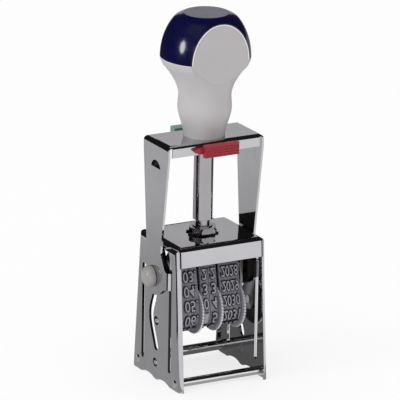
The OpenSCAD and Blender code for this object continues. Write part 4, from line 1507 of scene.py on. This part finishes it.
class BeltPath:
    """The outer path of a band around its wheel and the platen, in (Y, Z) millimetres."""

    PLATEN_HALF = 4.2
    PLATEN_CORNER = 1.2
    BAND_T = 1.2

    def __init__(self, node: str, wheel_z: float) -> None:
        """Works the path out from the band's own box.

        Args:
            node: The band's CAD node.
            wheel_z: Height of the wheel's middle.
        """
        low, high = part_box(node)
        self.wheel = Vector((0.0, wheel_z))
        self.wheel_r = wheel_z - low.z / MM
        self.top = high.z / MM
        self.corner_r = self.PLATEN_CORNER + self.BAND_T
        self.flat = self.PLATEN_HALF - self.corner_r
        self.corner = Vector((-self.flat, self.top - self.corner_r))
        reach = self.corner - self.wheel
        lean = math.acos((self.wheel_r - self.corner_r) / reach.length)
        angle = math.atan2(reach.y, reach.x) + lean
        self.out = Vector((math.cos(angle), math.sin(angle)))
        self.corner_len = self.corner_r * (angle - math.pi / 2)
        self.run_start = self.corner + self.corner_r * self.out
        self.run_end = self.wheel + self.wheel_r * self.out
        self.run_len = (self.run_end - self.run_start).length
        half_wheel = self.wheel_r * (1.5 * math.pi - angle)
        self.length = 2 * (self.flat + self.corner_len + self.run_len + half_wheel)

    def at(self, distance: float) -> tuple[Vector, Vector]:
        """Returns the point and outward normal at a distance along the path.

        Args:
            distance: Millimetres from the middle of the printing face, towards the front and down.

        Returns:
            The point and the normal, both (Y, Z).
        """
        half = self.length / 2
        distance = (distance + half) % self.length - half
        if distance < 0:
            point, normal = self.front(-distance)
            return Vector((-point.x, point.y)), Vector((-normal.x, normal.y))
        return self.front(distance)

    def front(self, distance: float) -> tuple[Vector, Vector]:
        """Returns the point and normal on the front half of the path."""
        if distance < self.flat:
            return Vector((-distance, self.top)), Vector((0.0, 1.0))
        distance -= self.flat
        if distance < self.corner_len:
            angle = math.pi / 2 + distance / self.corner_r
            normal = Vector((math.cos(angle), math.sin(angle)))
            return self.corner + self.corner_r * normal, normal
        distance -= self.corner_len
        if distance < self.run_len:
            return self.run_start.lerp(self.run_end, distance / self.run_len), self.out
        angle = math.atan2(self.out.y, self.out.x) % (2 * math.pi) + (distance - self.run_len) / self.wheel_r
        normal = Vector((math.cos(angle), math.sin(angle)))
        return self.wheel + self.wheel_r * normal, normal


@dataclass
class InkCassette:
    """The tray under the top plate and its inked felt. Sizes in millimetres."""

    shop: Workshop
    felt_crown: float = 0.12
    dip_share: float = 0.45
    weave_share: float = 0.35
    weave_rates: Point2 = (2.4, 2.7)
    border: float = 0.999
    near: float = 0.01
    cuts: int = 24
    tray_edges: Edges = Edges(0.3, 3)
    felt_edges: Edges = Edges(0.4, 3)

    def build(self) -> None:
        """Dresses the tray and makes the felt."""
        self.shop.dress("pad_tray", Slot.BLACK_PLASTIC, Finishes.BLACK, self.tray_edges)
        body, finishes = Body.PAD_CASSETTE, [Finishes.FELT]
        felt = self.shop.add(
            "felt_pad", self.felt(), body, Slot.INK_FELT, finishes, ["ink_pad"], self.felt_edges
        )

    def felt(self) -> Shape:
        """Returns the felt block, slightly hollow where the type has pressed it."""
        low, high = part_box("ink_pad")
        mesh = block(low, high)
        near = self.near * MM
        under = [edge for edge in mesh.edges if all(abs(vert.co.z - low.z) < near for vert in edge.verts)]
        bmesh.ops.subdivide_edges(mesh, edges=under, cuts=self.cuts, use_grid_fill=True)
        weave_x, weave_y = (rate / MM for rate in self.weave_rates)
        for vert in mesh.verts:
            x, y, z = vert.co
            inside = abs(x) < high.x * self.border and abs(y) < high.y * self.border
            if inside and abs(z - low.z) < near:
                dip = math.cos(x / high.x * math.pi / 2) * math.exp(-((y / (self.dip_share * high.y)) ** 2))
                weave = math.sin(x * weave_x) * math.sin(y * weave_y)
                vert.co.z += self.felt_crown * MM * (dip + self.weave_share * weave)
        return mesh


@dataclass
class ReturnSpring:
    """The coil between the post and the end of the handle's bore. Sizes in millimetres."""

    shop: Workshop
    wire_r: float = 0.4
    wire_sides: int = 10
    turns: int = 7
    steps_per_turn: int = 28
    pressed_share: float = 0.183

    def build(self) -> None:
        """Makes the coil, which rides on the press yoke."""
        low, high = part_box("return_spring")
        mesh = self.coil(low, high)
        body, finishes = Body.PRESS_YOKE, [Finishes.SPRING]
        piece = self.shop.add("coil_spring", mesh, body, Slot.NICKEL, finishes, ["return_spring"])
        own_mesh(piece)

    def coil(self, low: Vector, high: Vector) -> Shape:
        """Returns the coil.

        Args:
            low: Lowest corner of the spring's node.
            high: Its highest corner.

        Returns:
            One wire wound from the lower seat to the upper one.
        """
        mesh = bmesh.new()
        radius = high.x - self.wire_r * MM
        bottom, top = low.z + 2 * self.wire_r * MM, high.z - 2 * self.wire_r * MM
        upright = Matrix.Rotation(math.pi / 2, 4, "X")
        bmesh.ops.create_circle(
            mesh,
            cap_ends=True,
            segments=self.wire_sides,
            radius=self.wire_r * MM,
            matrix=Matrix.Translation((radius, 0, bottom)) @ upright,
        )
        steps = self.turns * self.steps_per_turn
        ring = mesh.verts[:] + mesh.edges[:] + mesh.faces[:]
        spun(mesh, ring, 2 * math.pi * self.turns, steps, rise=(top - bottom) / steps)
        bmesh.ops.recalc_face_normals(mesh, faces=mesh.faces)
        return mesh


@dataclass
class Studio:
    """Camera, floor, lamps, and what bright metal reflects. Sizes in metres and degrees.

    A place is an azimuth, an elevation and a distance. A span is a pair of azimuths.
    """

    WHITE = (1.0, 1.0, 1.0, 1.0)
    FULL_TURN = (-180.0, 180.0)

    camera_place: Point3 = (-29.12, 17.29, 2.19192)
    roll: float = 1.04
    focal_px: float = 4848.07
    image_px: float = 400.0
    sensor: float = 36.0
    target: Point3 = (0.0, 0.0, 0.090)
    offset_px: Point2 = (3.15, -16.06)
    floor_half: float = 6.0
    floor_colour: Colour = (0.97, 0.97, 0.97)
    paper_glow: float = 0.75
    fill_light: float = 0.8
    key_place: Point3 = (-70.0, 55.0, 2.0)
    key_strength: float = 0.5
    key_spread: float = 40.0
    window_place: Point3 = (-92.0, 14.0, 1.6)
    window_watts: float = 5.0
    window_size: Point2 = (0.40, 0.52)
    canopy_r: float = 3.2
    canopy_rise: float = 22.0
    canopy_steps: int = 24
    wall_r: float = 3.1
    wall_overlap: float = 3.0
    back_span: Point2 = (138.0, 166.0)
    left_span: Point2 = (166.0, 300.0)
    right_span: Point2 = (55.0, 138.0)
    sweep_step: float = 5.0
    least_steps: int = 8
    cloth_lift: float = 0.0002
    cloth_r: float = 0.45
    left_cloth_r: float = 0.12
    left_cloth_span: Point2 = (-113.0, -75.0)
    right_cloth_r: float = 0.19
    right_cloth_span: Point2 = (101.0, 148.0)
    grey_corners: tuple[Point2, Point2] = ((-0.45, -0.03), (-0.0232, 0.55))
    under_corners: tuple[Point2, Point2] = ((-0.0216, -0.013), (0.04, 0.3))
    front_corners: tuple[Point2, Point2] = ((-0.0216, -0.030), (0.045, -0.0165))
    fade: Point2 = (0.16, 0.30)
    dark: float = 0.015
    back_grey: float = 0.54
    right_grey: float = 0.25
    far_grey: float = 0.60
    near_grey: float = 0.42
    under_grey: float = 0.13
    front_grey: float = 0.42

    def build(self) -> None:
        """Sets up the whole studio."""
        bpy.context.scene.view_settings.view_transform = "Standard"
        self.camera()
        self.floor()
        self.world()
        self.lamps()
        self.cards()

    @staticmethod
    def towards(azimuth: float, elevation: float) -> Vector:
        """Returns the direction from the stamp to a place at that azimuth and elevation."""
        turn, rise = math.radians(azimuth), math.radians(elevation)
        return Vector((math.cos(rise) * math.sin(turn), -math.cos(rise) * math.cos(turn), math.sin(rise)))

    def camera(self) -> None:
        """Places the camera at the photograph's view."""
        data = bpy.data.cameras.new("camera")
        data.sensor_width = self.sensor
        data.lens = self.sensor * self.focal_px / self.image_px
        data.shift_x = -self.offset_px[0] / self.image_px
        data.shift_y = self.offset_px[1] / self.image_px
        bpy.context.scene.camera = self.hang("camera", data, self.camera_place, self.roll)

    def hang(self, name: str, data: bpy.types.ID, place: Point3, roll: float = 0.0) -> bpy.types.Object:
        """Puts a camera or a lamp at a place, turned towards the stamp.

        Args:
            name: Its name.
            data: The camera or the lamp.
            place: Its place around the stamp.
            roll: How far it is turned about its own line of sight.

        Returns:
            The new object.
        """
        azimuth, elevation, distance = place
        direction = self.towards(azimuth, elevation)
        item = placed(name, data)
        item.location = Vector(self.target) + direction * distance
        turn = direction.to_track_quat("Z", "Y") @ Quaternion((0, 0, 1), math.radians(roll))
        item.rotation_euler = turn.to_euler()
        return item

    @staticmethod
    def stand(name: str, mesh: Shape, material: bpy.types.Material) -> bpy.types.Object:
        """Puts a piece of the studio in the scene.

        Args:
            name: Its name.
            mesh: Its shape in metres, freed here.
            material: Its material.

        Returns:
            The new object.
        """
        data = data_of(name, mesh)
        data.materials.append(material)
        item = placed(name, data)
        return item

    def floor(self) -> None:
        """Lays a plain pale floor."""
        mesh = bmesh.new()
        bmesh.ops.create_grid(mesh, x_segments=1, y_segments=1, size=self.floor_half)
        material, recipe = new_material("floor_paper")
        paper = recipe.node("ShaderNodeBsdfDiffuse", None, {"Color": (*self.floor_colour, 1.0)}).out("BSDF")
        emission = {"Color": self.WHITE, "Strength": 1.0}
        glow = recipe.node("ShaderNodeEmission", None, emission).out("Emission")
        shaders = {0: recipe.seen() * self.paper_glow, 1: paper, 2: glow}
        mixed = recipe.node("ShaderNodeMixShader", None, shaders).out("Shader")
        recipe.node("ShaderNodeOutputMaterial", None, {"Surface": mixed})
        self.stand("floor", mesh, material)

    def world(self) -> None:
        """Surrounds the stamp with white that the camera and metal see, and dimmer light for the rest."""
        world = bpy.data.worlds.new("surroundings")
        world.use_nodes = True
        bpy.context.scene.world = world
        recipe = Recipe(world.node_tree)
        strength = recipe.seen() * (1.0 - self.fill_light) + self.fill_light
        inputs = {"Color": self.WHITE, "Strength": strength}
        background = recipe.node("ShaderNodeBackground", None, inputs).out("Background")
        recipe.node("ShaderNodeOutputWorld", None, {"Surface": background})

    def lamps(self) -> None:
        """Adds a soft key from the upper left, and a window whose highlight stands on the cap."""
        key = bpy.data.lights.new("key", "SUN")
        key.energy = self.key_strength
        key.angle = math.radians(self.key_spread)
        key.specular_factor = 0.0
        self.hang("key", key, self.key_place)
        window = bpy.data.lights.new("window", "AREA")
        window.shape = "ELLIPSE"
        window.size, window.size_y = self.window_size
        window.energy = self.window_watts
        self.hang("window", window, self.window_place)

    def cards(self) -> None:
        """Stands cards that only reflections see around the stamp, to give bright metal its dark lines."""
        arc = []
        for index in range(self.canopy_steps + 1):
            rise = math.radians(self.canopy_rise + (90 - self.canopy_rise) * index / self.canopy_steps)
            arc.append((self.canopy_r * math.cos(rise), self.canopy_r * math.sin(rise)))
        wall_h = self.wall_r * math.tan(math.radians(self.canopy_rise + self.wall_overlap))
        wall = [(self.wall_r, 0.0), (self.wall_r, wall_h)]
        far = self.ring(self.cloth_r, self.wall_r)
        left, right = (self.ring(inner, self.cloth_r) for inner in (self.left_cloth_r, self.right_cloth_r))
        for name, profile, span, level in (
            ("canopy", arc, self.FULL_TURN, self.dark),
            ("back_wall", wall, self.back_span, self.back_grey),
            ("left_wall", wall, self.left_span, self.dark),
            ("right_wall", wall, self.right_span, self.dark),
            ("left_far_cloth", far, self.left_span, self.dark),
            ("right_far_cloth", far, self.right_span, self.right_grey),
            ("left_cloth", left, self.left_cloth_span, self.dark),
            ("right_cloth", right, self.right_cloth_span, self.dark),
        ):
            self.card(name, self.swept(profile, span), level)
        # Sheets that only reflections see, darker near and under the stamp: painted shade in the floor's
        # reflection.
        self.card("grey_reflection_shade", self.sheet(*self.grey_corners), self.far_grey, self.near_grey)
        self.card("under_reflection_shade", self.sheet(*self.under_corners), self.under_grey)
        self.card("front_reflection_shade", self.sheet(*self.front_corners), self.front_grey)

    def ring(self, inner: float, outer: float) -> list[Point2]:
        """Returns the profile of a flat ring just over the floor."""
        return [(radius, 2 * self.cloth_lift) for radius in (inner, outer)]

    def sheet(self, low: Point2, high: Point2) -> Shape:
        """Returns a flat sheet on the floor between two corners in metres."""
        mesh = bmesh.new()
        corners = Vector(low), Vector(high)
        middle, half = (corners[0] + corners[1]) / 2, (corners[1] - corners[0]) / 2
        place = Matrix.Translation((*middle, self.cloth_lift)) @ Matrix.Diagonal((*half, 1.0, 1.0))
        bmesh.ops.create_grid(mesh, x_segments=1, y_segments=1, size=1.0, matrix=place)
        return mesh

    def swept(self, profile: Sequence[Point2], span: Point2) -> Shape:
        """Sweeps a profile around the stamp.

        Args:
            profile: (radius, height) points in metres.
            span: Azimuths of its two ends.

        Returns:
            A sheet without thickness.
        """
        start, end = span
        mesh = bmesh.new()
        heading = self.towards(start, 0.0)
        line = drawn(mesh, [heading * radius + Vector((0, 0, height)) for radius, height in profile])
        steps = max(self.least_steps, int((end - start) / self.sweep_step))
        spun(mesh, line, math.radians(end - start), steps, merge=span == self.FULL_TURN)
        return mesh

    def card(self, name: str, mesh: Shape, level: float, near: float | None = None) -> None:
        """Stands one card that glows at an even level, or from a near level to a far one.

        Args:
            name: The card's name.
            mesh: Its shape in metres.
            level: Its brightness, or the brightness of its far part.
            near: Brightness of the part close to the stamp, where it differs.
        """
        material, recipe = new_material(name)
        glow: Any = (*grey(level), 1.0)
        if near is not None:
            away = recipe.node("ShaderNodeVectorMath", {"operation": "LENGTH"}, {0: recipe.place()})
            glow = recipe.tint(recipe.ramp(away.out("Value"), self.fade), grey(near), grey(level))
        recipe.principled(
            {
                "Base Color": (*grey(0.0), 1.0),
                "Specular IOR Level": 0.0,
                "Emission Color": glow,
                "Emission Strength": 1.0,
            }
        )
        item = self.stand(name, mesh, material)
        item.visible_camera = False
        item.visible_diffuse = False
        item.visible_transmission = False
        item.visible_shadow = False


def main() -> None:
    """Builds the studio and the stamp."""
    logging.basicConfig(level=logging.INFO, format="%(message)s")
    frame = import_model()
    Studio().build()
    shop = Workshop(frame)
    for part in (SheetMetal, GuidePost, Handle, LockSlide, PrintUnit, InkCassette, ReturnSpring):
        LOG.info("building %s", part.__name__)
        part(shop).build()


if __name__ == "__main__":
    main()
